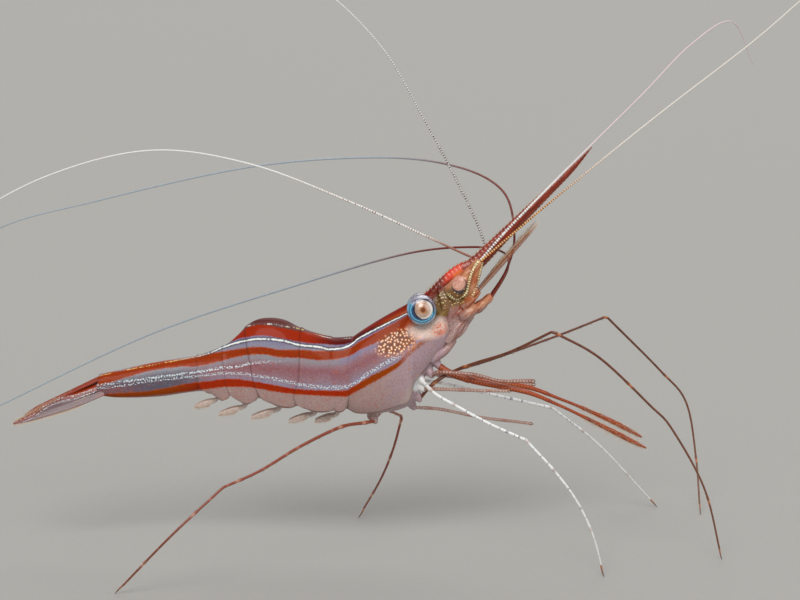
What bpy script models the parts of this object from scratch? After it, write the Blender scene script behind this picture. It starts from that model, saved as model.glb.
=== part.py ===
"""A life-size striped deep-water shrimp with a long rostrum, standing on six walking legs.

+X is forward, +Y is the animal's left and +Z is up. The floor is z = 0. Lengths below are millimetres
and MM turns them into metres. The animal is laid out around its eyes and then stood on the origin.
"""
import bmesh
import bpy
import math
from mathutils import Matrix, Vector

MM = 0.001
OBJECT_NAME = "striped_shrimp"
GAP = 0.3

# The body leans a little to its left about a level line at this height. Places of the body, the feelers and
# the mouthparts are given before the lean, and those of the walking legs as they stand.
LEAN_DEG = -9.0
LEAN_HEIGHT = 38.0

# Trunk outline in the middle plane, as (x, z) from the tail forward.
BACK_LINE = [(-55.6, 32.9), (-48.3, 34.6), (-41.0, 35.9), (-37.2, 36.5), (-34.4, 37.5), (-32.0, 38.6),
             (-30.0, 40.3), (-28.2, 42.1), (-26.4, 43.1), (-24.0, 43.4), (-21.4, 43.0), (-19.2, 41.9),
             (-17.0, 40.9), (-12.5, 39.8), (-8.5, 40.0)]
BELLY_LINE = [(-56.0, 29.0), (-53.0, 28.6), (-44.6, 28.8), (-37.5, 29.7), (-34.4, 29.5), (-31.5, 28.4),
              (-26.0, 28.0), (-18.6, 27.1), (-11.2, 26.3), (-9.8, 26.3)]
HALF_WIDTHS = [(-56.0, 1.75), (-45.0, 2.2), (-37.0, 2.7), (-31.0, 3.5), (-25.0, 4.2), (-16.0, 4.5),
               (-9.0, 4.6)]
# Joints between the abdomen's rings: x on the back and x on the belly, from the carapace backward.
RING_JOINTS = [(-8.8, -10.1), (-12.6, -12.4), (-17.8, -18.2), (-28.4, -25.8), (-32.6, -31.2),
               (-37.2, -36.6), (-55.3, -55.8)]
PLEURON_DROP = [0.1, 0.4, 0.4, 0.5, 0.5, 0.0]

# Carapace rings: (x, z) on the back, (x, z) at the lower edge, half width, width of the crest.
CARAPACE = [((-8.5, 40.0), (-9.7, 26.8), 4.5, 1.0), ((-6.8, 41.2), (-7.8, 26.0), 4.8, 1.0),
            ((-3.6, 43.2), (-4.2, 26.2), 5.0, 0.9), ((-0.6, 44.9), (-0.9, 27.2), 5.0, 0.75),
            ((1.6, 46.1), (1.7, 28.3), 4.8, 0.6), ((3.6, 47.2), (2.8, 31.7), 4.4, 0.45),
            ((5.2, 48.2), (4.9, 34.5), 3.9, 0.36), ((6.3, 49.2), (7.2, 37.3), 3.4, 0.34),
            ((7.3, 50.2), (9.6, 39.8), 2.9, 0.34)]
# The soft underside and the front of the head: (x, z) above, (x, z) below, half width.
THORAX = [((-9.0, 28.3), (-9.2, 26.3), 1.2), ((-5.0, 28.5), (-5.0, 25.7), 1.6),
          ((-0.6, 29.3), (-0.4, 26.2), 1.7), ((0.4, 30.8), (2.8, 28.0), 1.7), ((1.2, 33.3), (3.8, 31.2), 1.7),
          ((3.2, 35.9), (5.8, 33.8), 1.6), ((5.6, 38.0), (7.8, 36.5), 1.2)]
HEAD = [((8.0, 48.2), (10.3, 40.4), 2.5), ((9.6, 48.6), (12.3, 42.6), 2.3),
        ((10.8, 48.8), (14.4, 44.9), 1.9)]

EYE = Vector((4.0, 4.2, 45.15))
EYE_RADIUS = 2.78
EYE_FLAT = 2.7          # y of the cornea's inner side
STALK_ROOT = 1.25       # y where the stalk leaves the head

# Rostrum: (x, z) along the upper edge and the blade's depth there.
ROSTRUM = [((7.8, 50.6), 2.0), ((9.4, 52.4), 2.9), ((11.0, 53.5), 3.0), ((13.2, 54.5), 2.8),
           ((18.5, 59.5), 2.2), ((25.9, 66.4), 1.6), ((31.5, 71.4), 1.0), ((35.5, 75.2), 0.45)]
ROSTRUM_TEETH = 26
TOOTH_HEIGHT = 0.22
ROSTRUM_HALF_WIDTHS = (0.6, 0.27)

# Feelers: route in (x, y, z), and the radius at the root and at the tip.
FEELERS = {
    "antennule_outer_right": ([(15.1, -2.6, 54.2), (21.4, -2.5, 59.6), (31.3, -3.0, 67.9), (47.0, -4.2, 80.7),
                               (63.9, -5.0, 93.8), (74.5, -4.7, 102.9), (85.0, -3.0, 111.3)], 0.34, 0.27),
    "antennule_inner_right": ([(15.0, -1.6, 54.3), (20.3, -1.6, 60.3), (30.0, -1.5, 70.2), (44.4, 1.0, 84.3),
                               (54.2, 5.0, 94.1), (62.5, 9.6, 98.7), (67.3, 15.0, 91.0)], 0.34, 0.27),
    "antennule_outer_left": ([(15.0, 2.6, 54.3), (15.5, 2.4, 57.8), (11.2, 2.2, 67.5), (4.4, 2.1, 80.3),
                              (-3.7, 3.0, 94.0), (-16.0, 4.9, 105.5), (-31.0, 9.0, 111.8)], 0.34, 0.27),
    "antennule_inner_left": ([(14.6, 1.35, 54.2), (12.2, 1.8, 55.1), (4.0, 2.1, 58.9), (-9.3, 1.5, 64.9),
                              (-27.8, 0.4, 71.9), (-46.0, -0.8, 74.4), (-64.4, -2.6, 69.9), (-80.0, -4.1, 61.3),
                              (-92.0, -5.0, 50.0)], 0.34, 0.27),
    "antenna_left": ([(17.15, 3.05, 47.8), (20.0, 2.4, 52.6), (21.3, 2.5, 58.9), (19.2, 4.6, 66.9),
                      (10.5, 8.2, 71.5), (-4.5, 13.0, 73.2), (-29.0, 20.5, 71.4), (-59.1, 28.5, 64.9),
                      (-81.0, 33.6, 58.7), (-99.0, 49.0, 46.0)], 0.36, 0.27),
    "antenna_right": ([(17.15, -3.05, 47.8), (19.8, -2.3, 52.4), (19.4, 1.8, 55.4), (13.5, 5.0, 56.4),
                       (1.0, 10.5, 54.9), (-19.3, 18.5, 48.8), (-49.0, 27.0, 38.6), (-79.6, 31.5, 24.1),
                       (-99.0, 40.5, 15.0)], 0.36, 0.27),
}
FEELER_PARTS = 2
FEELER_STEP = 3.6       # along a feeler, from one cross-section to the next

# Walking legs, each as the routes of its upper and lower lengths. The last point is on the floor.
WALKING_LEGS = {
    "white_leg_right": ([(4.2, -3.0, 32.1), (6.6, -6.2, 30.5), (11.0, -8.2, 28.4), (16.4, -10.5, 26.0),
                         (22.9, -13.3, 23.7)],
                        [(23.4, -13.6, 23.2), (28.1, -15.6, 18.4), (32.0, -17.6, 13.4), (34.9, -19.3, 7.4),
                         (36.9, -20.3, 0.0)]),
    "white_leg_left": ([(4.1, 0.95, 31.4), (6.8, 2.4, 30.7), (11.3, 4.0, 29.3), (21.5, 9.0, 25.7),
                        (29.1, 13.3, 22.9)],
                       [(29.7, 13.8, 22.5), (39.2, 20.0, 13.4), (51.0, 23.2, 0.0)]),
    "brown_leg_right": ([(3.6, -2.2, 28.5), (6.0, -1.9, 31.2), (9.7, -1.2, 33.5), (13.8, -2.6, 35.5),
                         (20.2, -5.0, 38.2), (27.6, -7.9, 42.6)],
                        [(28.3, -8.1, 42.5), (36.4, -9.0, 38.0), (45.6, -10.0, 29.4), (49.7, -10.5, 25.0),
                         (55.8, -11.6, 13.9), (59.5, -10.4, 0.0)]),
    "brown_leg_left": ([(3.6, -0.8, 28.3), (6.0, -0.3, 30.9), (9.7, 0.2, 33.2), (17.0, 6.0, 34.1),
                        (30.7, 15.0, 36.9), (39.7, 20.8, 39.1)],
                       [(40.4, 21.2, 38.8), (51.1, 25.0, 27.5), (56.6, 26.6, 20.6), (58.6, 24.5, 9.9),
                        (58.9, 17.8, 0.0)]),
    "red_leg_right": ([(-4.6, -3.2, 24.6), (-6.6, -5.2, 24.8), (-11.0, -9.2, 25.0), (-18.1, -16.0, 23.2),
                       (-25.0, -22.0, 20.4), (-31.2, -25.8, 18.5)],
                      [(-31.8, -26.2, 18.1), (-40.4, -30.4, 10.8), (-50.5, -29.7, 0.0)]),
    "red_leg_left": ([(-4.6, -1.1, 24.4), (-4.4, 3.0, 23.8), (-2.9, 10.0, 23.3), (0.2, 18.3, 20.0)],
                     [(0.3, 18.8, 19.3), (-1.4, 19.0, 12.9), (-3.9, 18.3, 6.9), (-8.2, 15.8, 0.0)]),
}
# Leg radii at the hip, the knee and the foot.
LEG_RADII = {"white": (0.42, 0.34, 0.29), "brown": (0.38, 0.33, 0.29), "red": (0.44, 0.35, 0.29)}

# Mouthparts, claws and stems of the feelers on one side: route in (x, y, z) with a radius at each point. The
# left one is the right one's mirror image where it isn't given.
LIMBS = {
    "maxilliped_right": [((7.2, -1.4, 34.5), 0.56), ((9.6, -2.5, 33.1), 0.62), ((13.8, -3.2, 31.9), 0.6),
                         ((18.4, -3.8, 31.0), 0.55), ((23.9, -4.4, 29.8), 0.45), ((28.8, -4.8, 27.8), 0.3),
                         ((33.1, -5.0, 25.8), 0.3), ((39.5, -5.1, 22.6), 0.45), ((42.8, -5.1, 20.9), 0.4),
                         ((45.3, -5.2, 19.7), 0.27)],
    "maxilliped_left": [((7.2, 1.4, 34.5), 0.56), ((9.6, 2.5, 32.9), 0.62), ((14.0, 3.2, 31.8), 0.6),
                        ((18.7, 3.7, 31.0), 0.55), ((24.4, 4.3, 30.0), 0.45), ((29.7, 4.8, 28.0), 0.3),
                        ((33.9, 5.2, 26.3), 0.3), ((40.0, 5.7, 23.5), 0.45), ((43.2, 5.9, 21.8), 0.4),
                        ((45.6, 6.0, 20.5), 0.27)],
    "cheliped_1_right": [((5.9, -1.7, 32.8), 0.4), ((7.6, -3.9, 33.6), 0.4), ((13.8, -4.8, 33.2), 0.34),
                         ((18.4, -5.3, 32.1), 0.32), ((22.4, -5.4, 32.1), 0.42), ((24.8, -5.4, 32.1), 0.38),
                         ((25.9, -5.4, 32.1), 0.27)],
    "cheliped_1_left": [((5.9, 1.7, 32.8), 0.4), ((8.4, 4.6, 32.3), 0.4), ((14.5, 7.4, 31.2), 0.34),
                        ((19.5, 8.8, 30.6), 0.32), ((23.3, 9.4, 30.3), 0.42), ((25.7, 9.6, 30.2), 0.38),
                        ((26.8, 9.7, 30.1), 0.27)],
    "cheliped_2_right": [((4.3, -1.4, 30.2), 0.36), ((5.9, -2.7, 30.4), 0.35), ((11.0, -4.4, 30.4), 0.35),
                         ((15.0, -5.2, 30.3), 0.32), ((18.4, -5.6, 30.3), 0.32), ((21.1, -6.0, 30.3), 0.27)],
    "cheliped_2_left": [((2.6, 1.2, 26.6), 0.32), ((7.5, 3.0, 26.1), 0.32), ((15.0, 5.0, 24.4), 0.3),
                        ((22.6, 6.5, 23.3), 0.33), ((25.7, 7.0, 22.9), 0.27)],
    "antennule_stem_right": [((11.2, -2.1, 49.6), 1.1), ((12.3, -2.15, 51.0), 1.1), ((13.4, -2.1, 52.3), 0.95),
                             ((14.4, -2.1, 53.5), 0.8)],
    "antenna_stem_right": [((14.7, -2.4, 45.4), 0.85), ((15.8, -2.7, 46.4), 0.8), ((16.7, -2.95, 47.2), 0.6)],
}

# Flat blades: root and tip, half widths along the length, half thickness, tilt of the face in degrees.
SCALE = ((14.2, 3.4, 48.2), (24.8, 4.6, 60.2), (0.75, 1.15, 1.25, 1.15, 0.85, 0.3), 0.28, 35)
TELSON = ((-55.9, 0.0, 32.2), (-69.8, 0.0, 25.3), (1.1, 1.0, 0.85, 0.65, 0.45, 0.28), 0.3, 0)
ENDOPOD = ((-56.2, 1.45, 30.7), (-69.0, 1.45, 25.5), (0.5, 0.8, 0.85, 0.75, 0.5, 0.27), 0.25, 20)
EXOPOD = ((-56.3, 1.6, 29.4), (-71.4, 2.8, 24.0), (0.55, 0.95, 1.05, 0.95, 0.65, 0.27), 0.25, 20)

# Swimmerets: x of each pair on the belly and the length of a paddle.
SWIMMERETS = [(-11.4, 4.4), (-15.6, 5.0), (-22.2, 5.4), (-28.6, 5.0), (-33.9, 4.2)]
SWIMMERET_SPREAD = 1.5

COLOURS = {
    "shell": (0.36, 0.13, 0.09, 1.0), "red": (0.40, 0.05, 0.02, 1.0), "flesh": (0.45, 0.27, 0.24, 1.0),
    "eye": (0.10, 0.38, 0.50, 1.0), "white": (0.80, 0.80, 0.76, 1.0), "brown": (0.30, 0.12, 0.06, 1.0),
    "clear": (0.55, 0.45, 0.40, 1.0),
}
FINISHES = {name: (0.35, 0.0) for name in COLOURS}
FINISHES["eye"] = (0.12, 0.4)


def clear_scene():
    for old in list(bpy.data.objects):
        bpy.data.objects.remove(old, do_unlink=True)


def new_collection(name):
    collection = bpy.data.collections.new(name)
    bpy.context.scene.collection.children.link(collection)
    return collection


def add_empty(name, parent, height=0.0):
    empty = bpy.data.objects.new(name, None)
    bpy.context.scene.collection.objects.link(empty)
    empty.parent = parent
    empty.location.z = height * MM
    return empty


def make_material(name, finish):
    material = bpy.data.materials.new(name)
    material.use_nodes = True
    shader = material.node_tree.nodes["Principled BSDF"]
    shader.inputs["Base Color"].default_value = COLOURS[finish]
    shader.inputs["Roughness"].default_value = FINISHES[finish][0]
    shader.inputs["Metallic"].default_value = FINISHES[finish][1]
    material.diffuse_color = COLOURS[finish]
    return material


def add_object(name, data, collection, root, finish):
    piece = bpy.data.objects.new(name, data)
    collection.objects.link(piece)
    piece.parent = root
    if finish:
        data.materials.append(make_material(name, finish))
    return piece


def add_mesh(name, bm, collection, root, finish):
    bmesh.ops.recalc_face_normals(bm, faces=bm.faces)
    mesh = bpy.data.meshes.new(name)
    bm.to_mesh(mesh)
    bm.free()
    mesh.shade_smooth()
    mesh.set_sharp_from_angle(angle=math.radians(40))
    return add_object(name, mesh, collection, root, finish)


def smooth_value(table, x):
    """Height or width at x on a smooth line through the table's points, which run up in x."""
    last = len(table) - 2
    i = max(0, min(last, sum(1 for point in table if point[0] <= x) - 1))

    def slope(k):
        a, b = max(k - 1, 0), min(k + 1, len(table) - 1)
        return (table[b][1] - table[a][1]) / (table[b][0] - table[a][0])

    step = table[i + 1][0] - table[i][0]
    t = (x - table[i][0]) / step
    rise = table[i][1] * (1 + 2 * t) * (1 - t) ** 2 + table[i + 1][1] * t * t * (3 - 2 * t)
    return rise + step * (slope(i) * t * (1 - t) ** 2 - slope(i + 1) * t * t * (1 - t))


def smooth_route(points, step):
    """Evenly spaced points on a smooth curve through the route's own points."""
    knots = [Vector(p) for p in points]
    ends = [knots[0] * 2 - knots[1]] + knots + [knots[-1] * 2 - knots[-2]]
    fine = []
    for a, b, c, d in zip(ends, ends[1:], ends[2:], ends[3:]):
        for k in range(24):
            t = k / 24
            fine.append(0.5 * (2 * b + (c - a) * t + (2 * a - 5 * b + 4 * c - d) * t * t
                               + (3 * b - a - 3 * c + d) * t ** 3))
    fine.append(knots[-1])
    lengths = [0.0]
    for a, b in zip(fine, fine[1:]):
        lengths.append(lengths[-1] + (b - a).length)
    count = max(2, round(lengths[-1] / step) + 1)
    route = []
    for k in range(count):
        want = lengths[-1] * k / (count - 1)
        i = min(len(fine) - 2, max(0, sum(1 for s in lengths if s <= want) - 1))
        t = (want - lengths[i]) / (lengths[i + 1] - lengths[i])
        route.append(fine[i].lerp(fine[i + 1], t))
    return route


def loft(rings):
    """A closed body through rings of equal count, with flat ends."""
    bm = bmesh.new()
    rows = [[bm.verts.new(p * MM) for p in ring] for ring in rings]
    for a, b in zip(rows, rows[1:]):
        for k in range(len(a)):
            n = (k + 1) % len(a)
            bm.faces.new((a[k], a[n], b[n], b[k]))
    bm.faces.new(rows[0])
    bm.faces.new(list(reversed(rows[-1])))
    return bm


def body_ring(top, bottom, half_width, crest=1.0, sides=16):
    """An upright ring, narrowed to crest near the back and full at the flanks."""
    high, low = Vector((top[0], 0, top[1])), Vector((bottom[0], 0, bottom[1]))
    ring = []
    for k in range(sides):
        angle = 2 * math.pi * k / sides
        t = (1 - math.cos(angle)) / 2
        rise = min(1.0, max(0.0, (t - 0.12) / 0.42))
        narrow = crest + (1 - crest) * rise * rise * (3 - 2 * rise)
        power = 0.85 if t < 0.5 else 0.62
        point = high.lerp(low, t)
        point.y = math.copysign(abs(math.sin(angle)) ** power, math.sin(angle)) * half_width * narrow
        ring.append(point)
    return ring


def box_ring(top, bottom, half_width):
    return [Vector((x, y * half_width, z)) for (x, z), y in ((top, -1), (top, 1), (bottom, 1), (bottom, -1))]


def blade_ring(centre, across, up, half_width, half_thick, sides=8):
    return [centre + across * half_width * math.cos(2 * math.pi * k / sides)
            + up * half_thick * math.sin(2 * math.pi * k / sides) for k in range(sides)]


def mirrored(points):
    return [Vector((p[0], -p[1], p[2])) for p in points]


def make_tube(name, points, radii, collection, root, finish):
    """A round limb on a poly curve, with a radius at each point."""
    curve = bpy.data.curves.new(name, "CURVE")
    curve.dimensions = "3D"
    curve.bevel_depth = MM
    curve.bevel_resolution = 1
    curve.use_fill_caps = True
    spline = curve.splines.new("POLY")
    spline.points.add(len(points) - 1)
    for point, place, radius in zip(spline.points, points, radii):
        point.co = (*(Vector(place) * MM), 1.0)
        point.radius = radius
    return add_object(name, curve, collection, root, finish)


def make_abdomen(collection, root):
    for i, (front, rear) in enumerate(zip(RING_JOINTS, RING_JOINTS[1:])):
        count = 8 if i == 5 else 5
        rings = []
        for k in range(count):
            t = k / (count - 1)
            back = front[0] - GAP / 2 + (rear[0] - front[0] + GAP) * t
            belly = front[1] - GAP / 2 + (rear[1] - front[1] + GAP) * t
            drop = PLEURON_DROP[i] * math.sin(math.pi * t)
            rings.append(body_ring((back, smooth_value(BACK_LINE, back)),
                                   (belly, smooth_value(BELLY_LINE, belly) - drop),
                                   smooth_value(HALF_WIDTHS, (back + belly) / 2)))
        add_mesh(f"abdomen_{i + 1}", loft(rings), collection, root, "shell")


def make_orbit_cutter(side, cutters, root):
    """An egg round the eye and its stalk, a gap wider than both."""
    bm = bmesh.new()
    bmesh.ops.create_uvsphere(bm, u_segments=16, v_segments=10, radius=(EYE_RADIUS + GAP) * MM)
    bmesh.ops.scale(bm, vec=(1, 1.1, 1), verts=bm.verts)
    cutter = add_mesh(f"orbit_{'left' if side > 0 else 'right'}", bm, cutters, root, None)
    cutter.location = Vector((EYE.x, EYE.y * side, EYE.z)) * MM
    return hide_cutter(cutter)


def hide_cutter(cutter):
    cutter.hide_render = True
    cutter.display_type = "WIRE"
    return cutter


def make_carapace(collection, cutters, root):
    rings = [body_ring(top, low, width, crest, 20) for top, low, width, crest in CARAPACE]
    carapace = add_mesh("carapace", loft(rings), collection, root, "shell")
    room = [box_ring((top[0] - GAP, top[1] + GAP), (low[0] + 3, low[1] - 3), width + GAP)
            for top, low, width in THORAX]
    room.insert(0, [p + Vector((-3, 0, 0)) for p in room[0]])
    room.append([p + Vector((GAP, 0, GAP)) for p in room[-1]])
    holes = [hide_cutter(add_mesh("thorax_room", loft(room), cutters, root, None))]
    holes += [make_orbit_cutter(side, cutters, root) for side in (1, -1)]
    for hole in holes:
        cut = carapace.modifiers.new(hole.name, "BOOLEAN")
        cut.operation = "DIFFERENCE"
        cut.object = hole


def make_core(collection, root):
    """The soft underside that the legs leave, and the front of the head that the feelers leave."""
    add_mesh("thorax", loft([body_ring(*ring, 1.0, 10) for ring in THORAX]), collection, root, "flesh")
    add_mesh("head", loft([body_ring(*ring, 0.8, 14) for ring in HEAD]), collection, root, "flesh")


def make_eyes(collection, root):
    for side, word in ((-1, "right"), (1, "left")):
        bm = bmesh.new()
        turn = Matrix.Rotation(math.radians(90), 3, "X")
        bmesh.ops.create_uvsphere(bm, u_segments=16, v_segments=10, radius=EYE_RADIUS)
        bmesh.ops.rotate(bm, cent=(0, 0, 0), matrix=turn, verts=bm.verts)
        cut = bmesh.ops.bisect_plane(bm, geom=bm.verts[:] + bm.edges[:] + bm.faces[:],
                                     plane_co=(0, (EYE_FLAT - EYE.y) * side, 0), plane_no=(0, -side, 0),
                                     clear_outer=True)
        rim = [e for e in cut["geom_cut"] if isinstance(e, bmesh.types.BMEdge)]
        bmesh.ops.holes_fill(bm, edges=rim, sides=0)
        bmesh.ops.scale(bm, vec=(MM, MM, MM), verts=bm.verts)
        eye = add_mesh(f"eye_{word}", bm, collection, root, "eye")
        eye.location = Vector((EYE.x, EYE.y * side, EYE.z)) * MM
        length = EYE_FLAT - GAP - STALK_ROOT
        bm = bmesh.new()
        bmesh.ops.create_cone(bm, cap_ends=True, segments=14, radius1=1.0 * MM, radius2=2.0 * MM,
                              depth=length * MM)
        bmesh.ops.rotate(bm, cent=(0, 0, 0), matrix=Matrix.Rotation(math.radians(-90 * side), 3, "X"),
                         verts=bm.verts)
        stalk = add_mesh(f"eyestalk_{word}", bm, collection, root, "flesh")
        stalk.location = Vector((EYE.x, (STALK_ROOT + length / 2) * side, EYE.z)) * MM


def make_rostrum(collection, root):
    """A narrow blade whose upper and lower edges carry close forward teeth."""
    tops = [Vector((top[0], 0, top[1])) for top, _ in ROSTRUM]
    line = smooth_route(tops, (tops[0] - tops[-1]).length / (2 * ROSTRUM_TEETH))
    depths = [(top[0], depth) for top, depth in ROSTRUM]
    rings = []
    for k, top in enumerate(line):
        ahead = (line[min(k + 1, len(line) - 1)] - line[max(k - 1, 0)]).normalized()
        up = Vector((-ahead.z, 0, ahead.x))
        t = k / (len(line) - 1)
        depth = smooth_value(depths, min(max(top.x, depths[0][0]), depths[-1][0]))
        point = TOOTH_HEIGHT * (k % 2) * (1 - 0.5 * t)
        wide = ROSTRUM_HALF_WIDTHS[0] + (ROSTRUM_HALF_WIDTHS[1] - ROSTRUM_HALF_WIDTHS[0]) * t
        ring = [top + up * (point - TOOTH_HEIGHT * 0.5)]
        for share in (0.3, 0.72):
            ring.append(top - up * depth * share + Vector((0, wide, 0)))
        ring.append(top - up * (depth + point - TOOTH_HEIGHT * 0.5))
        for share in (0.72, 0.3):
            ring.append(top - up * depth * share - Vector((0, wide, 0)))
        rings.append(ring)
    add_mesh("rostrum", loft(rings), collection, root, "red")


def make_blade(name, blade, side, collection, root, finish):
    start, end, widths, thick, tilt = blade
    start, end = Vector(start), Vector(end)
    ahead = (end - start).normalized()
    level = Vector((0, 1, 0)).cross(ahead).cross(ahead).normalized()
    if level.y < 0:
        level.negate()
    across = Matrix.Rotation(math.radians(tilt), 3, ahead) @ level
    if across.z > level.z:
        across = Matrix.Rotation(math.radians(-tilt), 3, ahead) @ level
    up = across.cross(ahead)
    rings = [blade_ring(start.lerp(end, k / (len(widths) - 1)), across, up, width, thick)
             for k, width in enumerate(widths)]
    if side < 0:
        rings = [mirrored(ring) for ring in rings]
    add_mesh(name, loft(rings), collection, root, finish)


def make_tail_fan(collection, root):
    make_blade("telson", TELSON, 1, collection, root, "red")
    for side, word in ((-1, "right"), (1, "left")):
        make_blade(f"uropod_inner_{word}", ENDOPOD, side, collection, root, "red")
        make_blade(f"uropod_outer_{word}", EXOPOD, side, collection, root, "red")
        make_blade(f"antennal_scale_{word}", SCALE, side, collection, root, "clear")


def make_feelers(collection, root):
    for name, (points, root_radius, tip_radius) in FEELERS.items():
        line = smooth_route(points, FEELER_STEP)
        last = len(line) - 1
        for part in range(FEELER_PARTS):
            first, stop = round(last * part / FEELER_PARTS), round(last * (part + 1) / FEELER_PARTS)
            piece = line[first:stop + 1]
            if part:
                piece[0] = piece[0] + (piece[1] - piece[0]).normalized() * GAP
            radii = [root_radius + (tip_radius - root_radius) * k / last for k in range(first, stop + 1)]
            make_tube(f"{name}_{part + 1}", piece, radii, collection, root, "clear")


def make_limbs(collection, root):
    finishes = {"maxilliped": "red", "cheliped": "clear", "antennule": "flesh", "antenna": "flesh"}
    limbs = dict(LIMBS)
    for name, stations in LIMBS.items():
        twin = name.replace("right", "left")
        limbs.setdefault(twin, [((p[0], -p[1], p[2]), radius) for p, radius in stations])
    for name, stations in limbs.items():
        finish = finishes[name.split("_")[0]]
        make_tube(name, [p for p, _ in stations], [r for _, r in stations], collection, root, finish)


def make_walking_legs(collection, root):
    for name, (upper, lower) in WALKING_LEGS.items():
        finish = name.split("_")[0]
        wide, knee, thin = LEG_RADII[finish]
        radii = [wide + (knee - wide) * k / (len(upper) - 1) for k in range(len(upper))]
        make_tube(f"{name}_upper", upper, radii, collection, root, finish)
        below = Vector(lower[-1]) + (Vector(lower[-1]) - Vector(lower[-2])).normalized()
        radii = [knee + (thin - knee) * k / (len(lower) - 1) for k in range(len(lower))]
        leg = make_tube(f"{name}_lower", lower[:-1] + [below], radii, collection, root, finish)
        stand_on_floor(leg, collection, root, finish)


def stand_on_floor(leg, collection, root, finish):
    """Cuts the leg's end level at the floor, so that it stands on a small flat."""
    name = leg.name
    bpy.context.view_layer.update()
    graph = bpy.context.evaluated_depsgraph_get()
    mesh = bpy.data.meshes.new_from_object(leg.evaluated_get(graph))
    bpy.data.objects.remove(leg, do_unlink=True)
    bm = bmesh.new()
    bm.from_mesh(mesh)
    bmesh.ops.remove_doubles(bm, verts=bm.verts, dist=0.01 * MM)
    cut = bmesh.ops.bisect_plane(bm, geom=bm.verts[:] + bm.edges[:] + bm.faces[:], plane_co=(0, 0, 0),
                                 plane_no=(0, 0, -1), clear_outer=True)
    rim = [e for e in cut["geom_cut"] if isinstance(e, bmesh.types.BMEdge)]
    bmesh.ops.holes_fill(bm, edges=rim, sides=0)
    add_mesh(name, bm, collection, root, finish)


def make_swimmerets(collection, root):
    """Each pair is one solid: a paddle on each side, joined across the belly."""
    for i, (x, length) in enumerate(SWIMMERETS):
        z = smooth_value(BELLY_LINE, x) - PLEURON_DROP[i] - GAP - 0.55
        half = [((x, 0.0, z), 0.4), ((x - 0.3, SWIMMERET_SPREAD * 0.7, z - 0.1), 0.45),
                ((x - 0.3 * length, SWIMMERET_SPREAD, z - 0.1 * length), 0.55),
                ((x - 0.7 * length, SWIMMERET_SPREAD * 1.1, z - 0.2 * length), 0.5),
                ((x - length, SWIMMERET_SPREAD * 1.15, z - 0.26 * length), 0.27)]
        path = [((p[0], -p[1], p[2]), r) for p, r in reversed(half[1:])] + half
        points, radii = [p for p, _ in path], [r for _, r in path]
        make_tube(f"swimmerets_{i + 1}", points, radii, collection, root, "flesh")


def stand_on_origin(root, collection):
    """Moves the animal so that the middle of its box stands on the origin. Its feet are already on z = 0."""
    bpy.context.view_layer.update()
    graph = bpy.context.evaluated_depsgraph_get()
    places = []
    for piece in collection.objects:
        shown = piece.evaluated_get(graph)
        places += [shown.matrix_world @ v.co for v in shown.to_mesh().vertices]
        shown.to_mesh_clear()
    for axis in (0, 1):
        values = [place[axis] for place in places]
        root.location[axis] = -(min(values) + max(values)) / 2


def main():
    clear_scene()
    collection = new_collection(OBJECT_NAME)
    cutters = new_collection("cutters")
    stance = add_empty("stance", None)
    hinge = add_empty("lean_line", stance, LEAN_HEIGHT)
    hinge.rotation_euler.x = math.radians(LEAN_DEG)
    trunk = add_empty("trunk", hinge, -LEAN_HEIGHT)
    make_abdomen(collection, trunk)
    make_carapace(collection, cutters, trunk)
    make_core(collection, trunk)
    make_eyes(collection, trunk)
    make_rostrum(collection, trunk)
    make_tail_fan(collection, trunk)
    make_feelers(collection, trunk)
    make_limbs(collection, trunk)
    make_swimmerets(collection, trunk)
    make_walking_legs(collection, stance)
    stand_on_origin(stance, collection)
    bpy.context.view_layer.update()


main()
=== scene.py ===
import math

import bmesh
import bpy
import numpy as np
from mathutils import Matrix, Vector


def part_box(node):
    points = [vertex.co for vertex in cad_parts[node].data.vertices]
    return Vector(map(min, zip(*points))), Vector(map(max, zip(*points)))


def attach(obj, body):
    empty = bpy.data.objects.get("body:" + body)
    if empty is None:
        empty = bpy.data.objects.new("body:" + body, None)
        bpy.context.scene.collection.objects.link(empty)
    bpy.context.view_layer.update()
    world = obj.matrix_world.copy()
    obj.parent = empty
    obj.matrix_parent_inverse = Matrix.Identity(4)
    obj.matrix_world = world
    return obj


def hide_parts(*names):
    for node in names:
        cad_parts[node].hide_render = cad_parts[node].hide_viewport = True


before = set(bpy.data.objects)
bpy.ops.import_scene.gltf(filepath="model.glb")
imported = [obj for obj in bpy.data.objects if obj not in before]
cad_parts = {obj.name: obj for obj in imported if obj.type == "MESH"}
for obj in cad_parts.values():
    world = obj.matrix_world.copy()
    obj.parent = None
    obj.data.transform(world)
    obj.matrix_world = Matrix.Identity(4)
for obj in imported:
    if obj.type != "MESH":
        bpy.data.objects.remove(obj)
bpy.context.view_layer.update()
mm = 0.001
print("frame loaded:", len(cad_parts), "nodes")

# The animal is laid out in millimetres, leaned about a level line and stood where the frame's eyes are.
stance = {"leanDeg": -9.0, "leanHeight": 38.0, "eyeX": 4.0, "eyeHeight": 45.15}


def middle(nodes, axis):
    corners = [corner[axis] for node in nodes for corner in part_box(node)]
    return sum(corners) / len(corners) / mm


eyeNodes = ("eye_right", "eye_left")
lean = math.radians(stance["leanDeg"])
shiftX = middle(eyeNodes, 0) - stance["eyeX"]
shiftY = middle(eyeNodes, 1) + (stance["eyeHeight"] - stance["leanHeight"]) * math.sin(lean)
standing = Matrix.Translation((shiftX, shiftY, 0))
hinge = Matrix.Translation((0, 0, stance["leanHeight"]))
leaning = standing @ hinge @ Matrix.Rotation(lean, 4, "X") @ hinge.inverted()
print("shift", round(shiftX, 3), round(shiftY, 3))


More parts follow.
